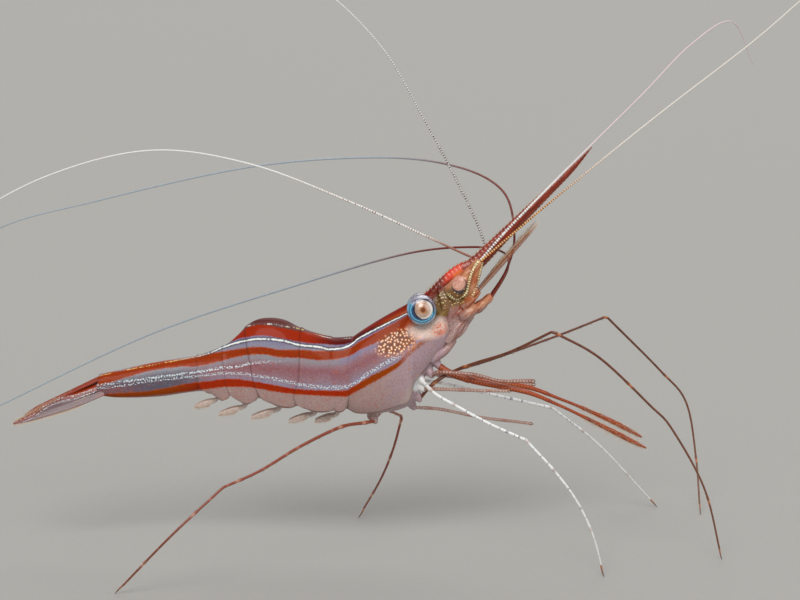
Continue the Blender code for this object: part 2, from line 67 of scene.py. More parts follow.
# ---- shared shape helpers: routes, tables, lofted surfaces and finished pieces
def smoothValue(table, x):
    # height or width at x on a smooth line through the table's points, which run up in x
    last = len(table) - 2
    i = max(0, min(last, sum(1 for point in table if point[0] <= x) - 1))

    def slope(k):
        a, b = max(k - 1, 0), min(k + 1, len(table) - 1)
        return (table[b][1] - table[a][1]) / (table[b][0] - table[a][0])

    step = table[i + 1][0] - table[i][0]
    t = (x - table[i][0]) / step
    rise = table[i][1] * (1 + 2 * t) * (1 - t) ** 2 + table[i + 1][1] * t * t * (3 - 2 * t)
    return rise + step * (slope(i) * t * (1 - t) ** 2 - slope(i + 1) * t * t * (1 - t))


def sampled(table, values):
    # the same smooth line read at many places
    return [smoothValue(table, value) for value in values]


def easeIn(value, low, high):
    t = min(1.0, max(0.0, (value - low) / (high - low)))
    return t * t * (3 - 2 * t)


def smoothRoute(points, step):
    # evenly spaced points on a smooth curve through the route's own points, and its length
    knots = np.array(points, float)
    ends = np.vstack([2 * knots[0] - knots[1], knots, 2 * knots[-1] - knots[-2]])
    t = np.linspace(0, 1, 25)[:-1, None]
    fine = [0.5 * (2 * b + (c - a) * t + (2 * a - 5 * b + 4 * c - d) * t ** 2 + (3 * b - a - 3 * c + d)
                   * t ** 3)
            for a, b, c, d in zip(ends, ends[1:], ends[2:], ends[3:])]
    fine = np.vstack(fine + [knots[-1:]])
    lengths = np.concatenate([[0], np.cumsum(np.linalg.norm(np.diff(fine, axis=0), axis=1))])
    wanted = np.linspace(0, lengths[-1], max(2, round(lengths[-1] / step) + 1))
    return np.stack([np.interp(wanted, lengths, column) for column in fine.T], 1), lengths[-1]


def turningFrames(line):
    # two directions square to the route at each point, carried along without twisting
    ahead = np.gradient(line, axis=0)
    ahead /= np.linalg.norm(ahead, axis=1)[:, None]
    side = np.cross(ahead[0], (0, 0, 1.0) if abs(ahead[0][2]) < 0.9 else (0, 1.0, 0))
    sides = []
    for forward in ahead:
        side = side - forward * side.dot(forward)
        side = side / np.linalg.norm(side)
        sides.append(side)
    return ahead, np.array(sides), np.cross(ahead, sides)


def growSurface(rows, columns, place, closed=True, capped=True, layers=("along",)):
    # a grid whose points are put in place one by one; place gives a point and a value for each layer
    bm = bmesh.new()
    stored = [bm.verts.layers.float.new(layer) for layer in layers]
    bmesh.ops.create_grid(bm, x_segments=rows, y_segments=columns, size=1.0)
    for vert in bm.verts:
        i, j = round((vert.co.x + 1) / 2 * rows), round((vert.co.y + 1) / 2 * columns)
        point, *values = place(i, j)
        vert.co = Vector(point)
        for layer, value in zip(stored, values):
            vert[layer] = value
    if closed:
        bmesh.ops.remove_doubles(bm, verts=bm.verts, dist=0.0004)
    if capped:
        rim = [edge for edge in bm.edges if edge.is_boundary]
        bmesh.ops.holes_fill(bm, edges=rim, sides=0)
    bmesh.ops.recalc_face_normals(bm, faces=bm.faces)
    return bm


def turnOut(bm, heart):
    # makes an open sheet face away from the line through heart
    total = sum((face.calc_center_median() - Vector(heart(face.calc_center_median()))).dot(face.normal)
                * face.calc_area() for face in bm.faces)
    if total < 0:
        bmesh.ops.reverse_faces(bm, faces=bm.faces)
    return bm


def tubeSurface(line, radii, sides=10, flat=None, values=None, layers=("along",)):
    # a closed limb round the route; flat squeezes it upright, values gives what each ring stores
    _, across, up = turningFrames(line)
    last = len(line) - 1

    def place(i, j):
        angle = 2 * math.pi * j / sides
        squeeze = 1.0 if flat is None else flat[i]
        point = line[i] + radii[i] * (across[i] * math.cos(angle) + up[i] * math.sin(angle) * squeeze)
        return (point, *(values[i] if values is not None else (i / last,)))

    return growSurface(last, sides, place, layers=layers)


def asMesh(name, bm):
    mesh = bpy.data.meshes.new(name)
    bm.to_mesh(mesh)
    bm.free()
    return mesh


def addObject(name, data):
    made = bpy.data.objects.new(name, data)
    bpy.context.scene.collection.objects.link(made)
    return made


def joinInto(bm, other):
    # moves what another bmesh holds into this one
    kept = asMesh("joined", other)
    bm.from_mesh(kept)
    bpy.data.meshes.remove(kept)


def addSpine(bm, root, tip, radius, sides=6):
    root, tip = Vector(root), Vector(tip)
    turn = (tip - root).to_track_quat("Z", "Y").to_matrix().to_4x4()
    place = Matrix.Translation((root + tip) / 2) @ turn
    bmesh.ops.create_cone(bm, cap_ends=True, segments=sides, radius1=radius, radius2=radius * 0.12,
                          depth=(tip - root).length, matrix=place)


def finishPiece(name, bm, finish, nodes=(), place=leaning, sharp=50, wall=0.0):
    # from millimetres to metres; sharp is the angle of a crisp edge, wall the thickness of a shell
    bmesh.ops.transform(bm, matrix=Matrix.Scale(mm, 4) @ place, verts=bm.verts)
    finishMesh(name, asMesh(name, bm), finish, nodes, sharp, wall)


def finishMesh(name, mesh, finish, nodes=(), sharp=0, wall=0.0):
    mesh.shade_smooth()
    if sharp:
        mesh.set_sharp_from_angle(angle=math.radians(sharp))
    mesh.materials.append(finish.material)
    piece = addObject(name, mesh)
    if wall:
        shell = piece.modifiers.new("wall", "SOLIDIFY")
        shell.thickness, shell.offset, shell.use_rim = wall * mm, -1.0, True
        shell.use_even_offset = False
    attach(piece, "root")
    if nodes:
        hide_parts(*nodes)


def mirroredRoute(points):
    return [(p[0], -p[1], p[2], *p[3:]) for p in points]


# ---- shader helpers
class Amount:
    # a socket, so that sums on it add Math nodes
    def __init__(self, finish, socket):
        self.finish, self.socket = finish, socket

    def sum(self, operation, *values):
        return self.finish.sum(operation, *values)

    def __add__(self, other):
        return self.sum("ADD", self, other)

    def __mul__(self, other):
        return self.sum("MULTIPLY", self, other)

    def __sub__(self, other):
        return self.sum("SUBTRACT", self, other)

    def __rsub__(self, other):
        return self.sum("SUBTRACT", other, self)

    def __truediv__(self, other):
        return self.sum("DIVIDE", self, other)

    def __abs__(self):
        return self.sum("ABSOLUTE", self)

    __radd__, __rmul__ = __add__, __mul__

    def atMost(self, other):
        return self.sum("MINIMUM", self, other)

    def atLeast(self, other):
        return self.sum("MAXIMUM", self, other)

    def fade(self, low, high):
        # 0 at low and 1 at high, smooth between them; low may be the larger
        return self.finish.node("ShaderNodeMapRange", {"interpolation_type": "SMOOTHSTEP"},
                                {"Value": self, "From Min": low, "From Max": high})

    def between(self, low, high, soft=0.4):
        return self.fade(low - soft, low + soft) * self.fade(high + soft, high - soft)


class Finish:
    def __init__(self, name, **fixed):
        self.material = bpy.data.materials.new(name)
        self.material.use_nodes = True
        self.nodes, self.links = self.material.node_tree.nodes, self.material.node_tree.links
        self.shader = self.nodes["Principled BSDF"]
        for socket, value in fixed.items():
            self.shader.inputs[socket.replace("_", " ")].default_value = value

    def node(self, kind, settings=None, inputs=None, output=0):
        made = self.nodes.new(kind)
        for key, value in (settings or {}).items():
            if key == "curve":
                fillCurve(made.mapping, value)
            elif key == "stops":
                fillRamp(made.color_ramp, value)
            else:
                setattr(made, key, value)
        for key, value in (inputs or {}).items():
            self.feed(made.inputs[key], value)
        return Amount(self, made.outputs[output])

    def sum(self, operation, *values):
        return self.node("ShaderNodeMath", {"operation": operation}, dict(enumerate(values)))

    def feed(self, socket, value):
        if isinstance(value, Amount):
            self.links.new(value.socket, socket)
        else:
            socket.default_value = value

    def mix(self, share, first, second):
        return self.node("ShaderNodeMix", {"data_type": "RGBA"}, {0: share, 6: first, 7: second}, 2)

    def lay(self, share, tone):
        # a tone laid over the colour made so far
        self.colour = self.mix(share, self.colour, tone)

    def here(self):
        # the place of the surface, in metres
        return self.node("ShaderNodeTexCoord", None, None, "Object")

    def joined(self, *values):
        return self.node("ShaderNodeCombineXYZ", None, dict(enumerate(values)))

    def noise(self, place, scale, detail=2.0, rough=0.5):
        return self.node("ShaderNodeTexNoise", None,
                         {"Vector": place, "Scale": scale, "Detail": detail, "Roughness": rough}, "Fac")

    def cells(self, place, scale, spread=1.0):
        return self.node("ShaderNodeTexVoronoi", None,
                         {"Vector": place, "Scale": scale, "Randomness": spread}, "Distance")

    def grains(self, place, scale):
        # a random grey for each cell
        return self.node("ShaderNodeTexVoronoi", None, {"Vector": place, "Scale": scale}, "Color")

    def dots(self, u, v, scale, spread, size):
        # round dots on a flat sheet through u and v; size is their share of a cell
        gap = self.node("ShaderNodeTexVoronoi", {"voronoi_dimensions": "2D"},
                        {"Vector": self.joined(u, v), "Scale": scale, "Randomness": spread}, "Distance")
        return gap.fade(size, size * 0.55)

    def stretched(self, place, scale):
        return self.node("ShaderNodeMapping", None, {"Vector": place, "Scale": scale})

    def split(self, place):
        return [self.node("ShaderNodeSeparateXYZ", None, {0: place}, axis) for axis in range(3)]

    def stored(self, layer):
        return self.node("ShaderNodeAttribute", {"attribute_name": layer}, None, "Fac")

    def bump(self, height, depth, strength=1.0):
        return self.node("ShaderNodeBump", None, {"Height": height, "Distance": depth,
                                                  "Strength": strength}, "Normal")

    def wear(self, **values):
        for socket, value in values.items():
            self.feed(self.shader.inputs[socket.replace("_", " ")], value)
        return self


def fillCurve(mapping, points):
    curve = mapping.curves[0]
    curve.points[0].location, curve.points[1].location = points[0], points[-1]
    for point in points[1:-1]:
        curve.points.new(*point)
    for point in curve.points:
        point.handle_type = "AUTO_CLAMPED"
    mapping.extend = "HORIZONTAL"
    mapping.update()


def fillRamp(ramp, stops):
    for stop in stops[2:]:
        ramp.elements.new(stop[0])
    for element, stop in zip(ramp.elements, sorted(stops)):
        element.position, element.color = stop


def paint(red, green, blue):
    # a colour as seen, from 0 to 255
    return (*(((c / 255 + 0.055) / 1.055) ** 2.4 if c > 10 else c / 3295 for c in (red, green, blue)), 1.0)


def paints(table):
    return {name: paint(*values) for name, values in table.items()}


# ---- camera, light and floor
view = {"distance": 450.0, "elevationDeg": 12.0, "lookHeight": 46.9, "lens": 109.46}


def setCamera():
    data = bpy.data.cameras.new("camera")
    data.lens, data.sensor_width = view["lens"], 36.0
    data.clip_start, data.clip_end = 0.01, 20.0
    camera = addObject("camera", data)
    rise = math.radians(view["elevationDeg"])
    target = Vector((shiftX, shiftY, view["lookHeight"])) * mm
    offset = Vector((0, -math.cos(rise), math.sin(rise))) * view["distance"] * mm
    camera.location = target + offset
    camera.rotation_euler = (-offset).to_track_quat("-Z", "Y").to_euler()
    bpy.context.scene.camera = camera


lights = {
    # name: direction it comes from, how wide it looks in degrees, strength, colour
    "keySoftbox": ((-0.25, -0.95, 1.15), 34.0, 1.75, (1.0, 0.975, 0.94)),
    "fillSoftbox": ((0.95, -0.75, 0.60), 50.0, 0.55, (0.94, 0.97, 1.0)),
    "backSoftbox": ((0.15, 0.95, 0.85), 45.0, 0.75, (1.0, 1.0, 1.0)),
}
studio = {"sky": (0.80, 0.81, 0.82, 1.0), "skyStrength": 0.42}


def setLights():
    for name, (source, wide, strength, colour) in lights.items():
        data = bpy.data.lights.new(name, "SUN")
        data.angle, data.energy, data.color = math.radians(wide), strength, colour
        lamp = addObject(name, data)
        lamp.location = source
        lamp.rotation_euler = (-Vector(source)).to_track_quat("-Z", "Y").to_euler()
    world = bpy.data.worlds.new("studio")
    bpy.context.scene.world = world
    world.use_nodes = True
    world.node_tree.nodes["Background"].inputs[0].default_value = studio["sky"]
    world.node_tree.nodes["Background"].inputs[1].default_value = studio["skyStrength"]
    bpy.context.scene.view_settings.view_transform = "Standard"


floorLook = {"size": 12.0, "paint": (178, 177, 173), "grain": 900.0}


def setFloor():
    finish = Finish("floorPaper", Roughness=0.85, Specular_IOR_Level=0.2)
    place = finish.here()
    grain = finish.noise(place, floorLook["grain"], 3.0)
    shade = paint(*floorLook["paint"])
    darker = tuple(c * 0.93 for c in shade[:3]) + (1,)
    finish.wear(Base_Color=finish.mix(grain, darker, shade), Normal=finish.bump(grain, 0.00003, 0.4))
    bm = bmesh.new()
    bmesh.ops.create_grid(bm, x_segments=4, y_segments=4, size=floorLook["size"])
    mesh = asMesh("floor", bm)
    mesh.materials.append(finish.material)
    addObject("floor", mesh)


setCamera()
setLights()
setFloor()
print("camera, light and floor set")


# ---- markings of the body, drawn on its own length and height in millimetres
reach = {"low": -75.0, "high": 20.0, "floor": 20.0, "roof": 60.0}
markings = {
    "goldLine": {
        "line": [(-28.3, 42.0), (-24.0, 42.4), (-21.3, 42.0), (-17.6, 41.2), (-12.9, 39.75), (-9.2, 39.7)],
        "half": [(-28.0, 0.12), (-20.0, 0.1), (-15.0, 0.05), (-9.0, 0.04)]},
    "upperBand": {
        "line": [(-34.0, 37.9), (-31.4, 39.3), (-28.6, 40.7), (-25.8, 41.3), (-22.1, 40.8), (-18.4, 40.1),
            (-14.8, 39.6), (-11.1, 39.2), (-9.0, 39.7)],
        "half": [(-33.0, 0.1), (-30.0, 0.5), (-26.0, 0.95), (-18.0, 0.95), (-11.0, 0.65), (-9.0, 0.7)]},
    "whiteLine": {
        "line": [(-56.0, 32.6), (-54.6, 32.95), (-44.4, 35.0), (-37.9, 36.25), (-36.0, 36.7),
            (-32.3, 38.2), (-29.5, 39.1), (-25.8, 39.7), (-22.1, 39.5), (-18.4, 38.6), (-14.8, 38.2),
            (-12.9, 37.8), (-10.0, 38.2), (-7.4, 39.9), (-4.6, 41.4), (-1.8, 42.8), (1.3, 44.3)],
        "half": [(-55.0, 0.06), (-36.0, 0.07), (-30.0, 0.15), (-10.0, 0.15), (1.0, 0.09)]},
    "middleBand": {
        "line": [(-70.0, 25.4), (-68.6, 26.0), (-63.9, 27.9), (-59.3, 30.1), (-54.6, 32.2), (-51.8, 32.9),
            (-48.1, 33.9), (-44.4, 34.7), (-40.7, 35.1), (-36.9, 35.6), (-33.2, 36.4), (-29.5, 37.2),
            (-25.8, 37.6), (-22.1, 37.1), (-18.4, 37.0), (-14.7, 36.7), (-9.9, 37.1), (-7.4, 38.5),
            (-3.7, 40.3), (0.0, 42.0), (1.8, 42.9), (5.0, 44.5)],
        "half": [(-70.0, 0.9), (-54.6, 0.92), (-51.8, 0.74), (-44.4, 0.66), (-40.7, 0.66), (-36.9, 0.92),
            (-33.2, 0.83), (-29.5, 0.66), (-22.1, 0.66), (-18.4, 0.76), (-14.7, 0.83), (-9.9, 0.68),
            (-7.4, 0.74), (-3.7, 0.95), (0.0, 1.25), (3.0, 1.4)]},
    "glowLine": {
        "line": [(-56.0, 31.0), (-51.8, 31.6), (-44.4, 32.6), (-36.9, 33.6), (-33.2, 34.3), (-29.5, 34.7),
            (-27.6, 35.2), (-20.2, 35.7)],
        "half": [(-56.0, 0.16), (-40.0, 0.22), (-30.0, 0.24), (-20.0, 0.16)]},
    "dotLine": {
        "line": [(-71.0, 24.3), (-68.2, 25.5), (-65.8, 27.2), (-63.0, 28.5), (-60.2, 29.1), (-56.5, 30.3),
            (-52.7, 30.7), (-46.2, 31.8), (-36.9, 32.8), (-31.3, 33.4), (-27.6, 33.1), (-22.1, 32.2),
            (-19.3, 31.6), (-16.6, 31.1), (-12.9, 30.8), (-9.9, 31.0), (-5.5, 33.7), (-0.9, 36.3),
            (0.6, 37.0)],
        "half": [(-70.0, 0.2), (-52.0, 0.16), (-40.0, 0.22), (-31.0, 0.24), (-20.0, 0.3), (0.0, 0.4)]},
    "lowerBand": {
        "line": [(-58.0, 28.6), (-53.7, 29.0), (-46.3, 29.5), (-38.8, 30.7), (-35.1, 31.2), (-31.4, 31.6),
            (-27.6, 31.4), (-24.0, 30.8), (-20.3, 30.2), (-16.6, 29.9), (-10.1, 29.7), (-8.8, 30.3),
            (-5.5, 32.2), (-1.8, 34.2), (0.0, 35.4), (1.8, 37.3), (5.5, 40.0), (7.0, 40.9)],
        "half": [(-56.0, 0.38), (-46.0, 0.5), (-38.0, 0.74), (-31.0, 0.74), (-27.6, 0.6), (-24.0, 0.62),
            (-20.0, 0.5), (-16.0, 0.48), (-9.0, 0.6), (-5.5, 0.7), (-1.8, 0.5), (1.8, 0.45), (5.0, 0.35),
            (7.0, 0.15)]},
}
spans = {
    # places along the body where a marking comes in or goes out, as x
    "tail": (-33.0, -42.0), "hump": (-33.0, -9.2), "upperBand": (-34.0, -8.8), "goldLine": (-28.5, -9.2),
    "back": (-9.6, -8.6), "middleFront": (5.4, 3.6), "lowerFront": (7.5, 5.0), "lowerRear": (-57.0, -54.0),
    "whiteFront": (2.5, 1.0), "glowRear": (-19.0, -30.0), "dotFront": (1.0, -0.8), "fan": (-54.5, -57.0),
}
ovals = {
    # centre, half length and half height, tilt in degrees, softness of the edge
    "patch": ((-0.7, 39.2), (3.6, 1.8), 22, 0.35),
    "patchRing": ((-0.2, 39.1), (4.4, 2.3), 22, 0.35),
    "patchDots": ((-0.4, 39.1), (4.2, 2.1), 22, 0.35),
    "glow": ((5.4, 41.7), (3.7, 1.9), 8, 0.8),
    "emberFront": ((7.3, 41.4), (1.5, 1.2), 20, 0.6),
    "emberRear": ((2.6, 43.0), (1.5, 0.9), 30, 0.6),
    "golden": ((9.7, 47.3), (3.5, 1.8), 14, 0.5),
    "ball": ((10.8, 50.0), (1.25, 1.35), 0, 0.35),
    "crescent": ((11.0, 49.5), (1.5, 1.55), 0, 0.25),
    "streaks": ((12.4, 46.6), (3.2, 0.75), 52, 0.5),
    "redPatch": ((10.3, 44.6), (1.5, 1.1), 20, 0.6),
    "rootWhite": ((2.9, 31.7), (2.7, 1.6), -34, 0.5),
}
bodyPaints = {
    "back": (90, 10, 2), "backBright": (134, 24, 4), "hump": (112, 78, 58), "bandRed": (166, 28, 0),
    "upperRed": (160, 40, 2), "band": (158, 34, 0), "bandFront": (150, 62, 0), "bandEdge": (196, 92, 40),
    "white": (246, 248, 242), "gold": (240, 210, 132), "silver": (226, 240, 246), "dark": (58, 54, 60),
    "between": (128, 122, 160), "grey": (150, 152, 160), "lavender": (150, 142, 166),
    "flank": (154, 122, 132), "flankRed": (150, 98, 106), "belly": (170, 142, 138),
    "bellyFront": (178, 152, 162), "speckle": (112, 40, 26), "paleDot": (214, 196, 176),
    "yellowDot": (222, 198, 140), "patch": (112, 66, 48), "patchRing": (218, 122, 40),
    "patchDot": (255, 240, 218), "glow": (255, 222, 206), "ember": (236, 96, 34), "olive": (96, 66, 28),
    "oliveLight": (158, 124, 60), "tailBlue": (74, 82, 100), "tailSheen": (150, 162, 172),
    "tailMauve": (128, 82, 88), "fan": (150, 58, 10), "fanLow": (118, 94, 98), "edge": (98, 58, 50),
}
tones = paints(bodyPaints)


def bodyMillimetres(finish):
    # the leaned body's own millimetres, from the place of the surface
    centre = Vector((0, 0, stance["leanHeight"]))
    turn = Matrix.Rotation(-lean, 3, "X")
    back = centre - turn @ (Vector((shiftX, shiftY, 0)) + centre)
    place = finish.here()
    return finish.node("ShaderNodeMapping", None, {"Vector": place, "Location": back,
                                                   "Rotation": (-lean, 0, 0), "Scale": (1 / mm,) * 3})


def curveAlong(finish, where, points, roof=None):
    # a value in millimetres that follows the points, read at a place along the body
    floor, top = (0.0, 4.0) if roof is None else roof
    width = reach["high"] - reach["low"]
    knots = [((x - reach["low"]) / width, (value - floor) / (top - floor)) for x, value in points]
    share = (where - reach["low"]) / width
    curve = finish.node("ShaderNodeFloatCurve", {"curve": knots}, {"Value": share})
    return curve * (top - floor) + floor


def stripe(finish, x, z, name, soft=0.12, ragged=0.0):
    # how much of a marking shows here, and its own height
    marking = markings[name]
    middleLine = curveAlong(finish, x, marking["line"], (reach["floor"], reach["roof"]))
    half = marking["half"]
    if isinstance(half, list):
        half = curveAlong(finish, x, half)
    gap = abs(z - middleLine) - half + ragged
    return gap.fade(soft, -soft), middleLine, gap


def oval(x, z, name):
    # 1 inside a tilted oval and 0 outside
    centre, radii, tiltDeg, soft = ovals[name]
    turn = math.radians(tiltDeg)
    dx, dz = x - centre[0], z - centre[1]
    u = (dx * math.cos(turn) + dz * math.sin(turn)) / radii[0]
    v = (dz * math.cos(turn) - dx * math.sin(turn)) / radii[1]
    return (u * u + v * v).fade(1 + soft, 1 - soft)


def flankColour(finish, place, x, share, broad, fine):
    # the clear flank between the bands, grained with small coloured cells
    ramp = finish.node("ShaderNodeValToRGB", {"stops": [
        (0.0, tones["belly"]), (0.27, tones["belly"]), (0.33, tones["lavender"]), (0.47, tones["flank"]),
        (0.62, tones["flankRed"]), (0.76, tones["flank"]), (0.87, tones["grey"]), (0.96, tones["between"]),
        (1.0, tones["between"])]},
        {"Fac": share * 0.62 + 0.28 + (broad - 0.5) * 0.22 + (fine - 0.5) * 0.08})
    tail = x.fade(*spans["tail"])
    tailTone = finish.mix(share.fade(0.45, 0.95), tones["tailBlue"], tones["tailSheen"])
    tailTone = finish.mix(x.fade(-46.0, -55.0) * share.fade(0.7, 0.3), tailTone, tones["tailMauve"])
    finish.colour = finish.mix(tail * 0.8, ramp, tailTone)
    low = finish.mix(x.fade(-7.0, 3.0), tones["belly"], tones["bellyFront"])
    finish.lay(share.fade(0.05, -0.2) * 0.9, low)
    reddish = finish.noise(place, 1.5, 3.0).fade(0.5, 0.72) * broad.fade(0.4, 0.6)
    finish.lay(reddish * 0.35, tones["bandEdge"])
    pepper = finish.cells(place, 4.6, 1.0).fade(0.42, 0.2)
    salt = finish.cells(finish.stretched(place, (1.1, 1.3, 1.2)), 3.7, 1.0).fade(0.34, 0.14)
    finish.lay(pepper * fine.fade(0.3, 0.6) * 0.6, tones["speckle"])
    finish.lay(salt * fine.fade(0.66, 0.4) * 0.5, tones["paleDot"])
    return tail


def bodyPattern(finish):
    # colour, gloss and relief of the striped body
    place = bodyMillimetres(finish)
    x, y, z = finish.split(place)
    broad = finish.noise(place, 0.35, 3.0)
    fine = finish.noise(place, 3.4, 4.0, 0.65)
    grain = (fine - 0.5) * 0.7
    middleBand, middleLine, middleGap = stripe(finish, x, z, "middleBand", 0.09, grain)
    lowerBand, lowerLine, lowerGap = stripe(finish, x, z, "lowerBand", 0.10, grain)
    upperBand, upperLine, _ = stripe(finish, x, z, "upperBand", 0.10, grain)
    whiteLine, whiteHeight, whiteGap = stripe(finish, x, z, "whiteLine", 0.04, grain * 0.75)
    goldLine, goldHeight, _ = stripe(finish, x, z, "goldLine", 0.05, grain * 0.4)
    glowLine, _, _ = stripe(finish, x, z, "glowLine", 0.10, grain * 1.3)
    dotLine, _, _ = stripe(finish, x, z, "dotLine", 0.10, grain)
    share = (z - lowerLine) / (middleLine - lowerLine)
    tail = flankColour(finish, place, x, share, broad, fine)
    under = middleGap.fade(1.9, 0.2) * share.fade(0.2, 0.6) * (1 - tail) * x.fade(3.0, 0.0)
    underTone = finish.mix(x.fade(-13.0, -9.5), tones["grey"], tones["between"])
    finish.lay(under * 0.6, underTone)
    paleDot = finish.cells(place, 2.3, 0.9).fade(0.2, 0.1)
    below = share.fade(0.0, -0.3)
    finish.lay(paleDot * below * 0.75, tones["yellowDot"])
    # the back above the upper lines
    back = (z - whiteHeight).fade(-0.05, 0.12) * x.fade(*spans["back"])
    backTone = finish.mix((broad + grain * 0.3).fade(0.35, 0.65), tones["back"], tones["backBright"])
    nearLine = (z - whiteHeight).fade(1.3, 0.3) * x.fade(-6.0, 0.0)
    backTone = finish.mix(nearLine * 0.6, backTone, tones["bandEdge"])
    finish.lay(back, backTone)
    olive = x.fade(4.4, 5.4) * z.fade(46.4, 45.7) * z.fade(43.4, 44.1)
    finish.lay(olive, finish.mix(fine, tones["olive"], tones["oliveLight"]))
    hump = (z - upperLine).fade(0.1, 0.5) * x.between(*spans["hump"])
    finish.lay(hump * 0.9, finish.mix(fine, tones["back"], tones["hump"]))
    ridge = (z - goldHeight).fade(0.25, 0.6) * x.between(*spans["hump"])
    finish.lay(ridge * 0.85, tones["back"])
    # bands, a little brighter at their edges
    bandTone = finish.mix(fine.fade(0.3, 0.7), tones["band"], tones["bandFront"])
    bandTone = finish.mix(x.fade(0.0, 3.0), bandTone, tones["upperRed"])
    upper = upperBand * x.between(*spans["upperBand"])
    lower = lowerBand * x.fade(*spans["lowerRear"]) * x.fade(*spans["lowerFront"])
    lower = lower * (1 - x.fade(-0.5, 1.6) * finish.cells(place, 3.4, 1.0).fade(0.3, 0.45) * 0.75)
    finish.lay(upper, finish.mix(x.fade(-18.0, -11.0), tones["upperRed"], tones["back"]))
    middleBand = middleBand * x.fade(*spans["middleFront"])
    finish.lay(middleBand, bandTone)
    lowerTone = finish.mix(x.between(-40.0, -8.0, 4.0), tones["bandFront"], tones["bandRed"])
    finish.lay(lower, finish.mix(fine.fade(0.35, 0.65) * 0.5, lowerTone, tones["bandFront"]))
    freckle = finish.cells(place, 4.2, 1.0).fade(0.34, 0.2)
    loose = (middleGap.fade(0.6, 0.1) * x.fade(*spans["middleFront"]) + lowerGap.fade(0.6, 0.1)
             * x.fade(*spans["lowerFront"]) * x.fade(*spans["lowerRear"])).atMost(1.0)
    finish.lay(loose * freckle * 0.7, tones["bandFront"])
    fringe = (abs(middleGap).fade(0.3, 0.05) + abs(lowerGap).fade(0.25, 0.05)
              * x.fade(*spans["lowerFront"])).atMost(1.0) * finish.grains(place, 3.6).fade(0.45, 0.6)
    finish.lay(fringe * 0.45, tones["bandEdge"])
    # oval patch with pale dots and the glow under the eye
    patch = oval(x, z, "patch")
    finish.lay(patch * 0.85, tones["patch"])
    patchRing = finish.dots(x, z, 1.65, 0.75, 0.62) * fine.fade(0.35, 0.6)
    finish.lay(oval(x, z, "patchRing") * patchRing, tones["patchRing"])
    patchDot = finish.dots(x, z, 1.65, 0.75, 0.3)
    patchTone = finish.mix(x.fade(-0.5, 3.0) * 0.5, tones["patchDot"], tones["patchRing"])
    finish.lay(oval(x, z, "patchDots") * patchDot, patchTone)
    pepperNear = finish.cells(place, 3.6, 1.0).fade(0.38, 0.2)
    glow = oval(x, z, "glow") * (broad + grain * 0.6).fade(0.2, 0.42)
    finish.lay(glow * (1 - pepperNear * 0.6), tones["glow"])
    ember = (oval(x, z, "emberFront") + oval(x, z, "emberRear")).atMost(1.0) * fine.fade(0.42, 0.58)
    finish.lay(ember * 0.8, tones["ember"])
    # bright lines with dark borders of painted shadow, broken into short dashes
    dash = finish.noise(finish.stretched(place, (1, 0.15, 0.25)), 1.5, 4.0, 0.75)
    beads = finish.cells(finish.stretched(place, (1, 0.2, 0.2)), 3.4, 0.4)
    # painted shadow: a thin dark line along each side of the white line
    lineShadow = whiteGap.fade(0.38, 0.1) * x.fade(2.0, 0.0) * (1 - tail) * abs(y).fade(0.3, 0.9)
    finish.lay(lineShadow * 0.7, tones["dark"])
    aside = abs(y).fade(0.3, 0.7)
    whiteLine = whiteLine * aside * (dash + x.fade(-12.0, -8.0) * 0.12).fade(0.38, 0.44)
    whiteLine = whiteLine * x.fade(*spans["whiteFront"])
    whiteLine = whiteLine * (1 - tail * beads.fade(0.35, 0.5))
    finish.lay(whiteLine, finish.mix(tail, tones["white"], tones["gold"]))
    goldLine = goldLine * abs(y).fade(1.0, 1.3) * beads.fade(0.52, 0.36) * x.between(*spans["goldLine"])
    goldMix = finish.mix(x.between(-20.5, -15.0, 1.5), tones["white"], tones["gold"])
    finish.lay(goldLine, goldMix)
    flecks = finish.dots(x * 0.85, z, 2.5, 0.7, 0.5)
    bright = x.fade(-30.0, -38.0)
    glowLine = glowLine * (flecks + bright * 0.1).fade(0.3, 0.6) * x.fade(*spans["glowRear"])
    finish.lay(glowLine * 0.95, tones["silver"])
    smallDots = finish.dots(x, z, 2.9, 0.7, 0.42)
    dotLine = dotLine * (smallDots + bright * 0.1).fade(0.3, 0.7) * x.fade(*spans["dotFront"])
    finish.lay(dotLine, tones["silver"])
    relief = paleDot * 0.2 + (whiteLine + goldLine + dotLine + glowLine) * 0.5 + patch * patchDot * 0.4
    relief = relief + fine * 0.4
    gloss = 0.38 + fine * 0.18 - (whiteLine + dotLine) * 0.08
    return {"place": place, "x": x, "y": y, "z": z, "fine": fine,
            "relief": relief, "gloss": gloss, "share": share}


def shellFinish():
    finish = Finish("stripedShell", Coat_Weight=0.10, Coat_Roughness=0.08, IOR=1.38,
                    Specular_IOR_Level=0.12, Subsurface_Weight=0.10,
                    Subsurface_Scale=0.0010, Subsurface_Radius=(1.0, 0.45, 0.3))
    look = bodyPattern(finish)
    edge = finish.stored("edge").fade(0.972, 0.99)
    finish.lay(edge * 0.3, tones["edge"])
    flap = look["share"].fade(-0.75, -1.6)
    finish.lay(flap * 0.45, tones["paleDot"])
    finish.wear(Base_Color=finish.colour, Roughness=look["gloss"],
                Normal=finish.bump(look["relief"], 0.00007, 0.8))
    return finish


shellLook = shellFinish()
print("body markings made")


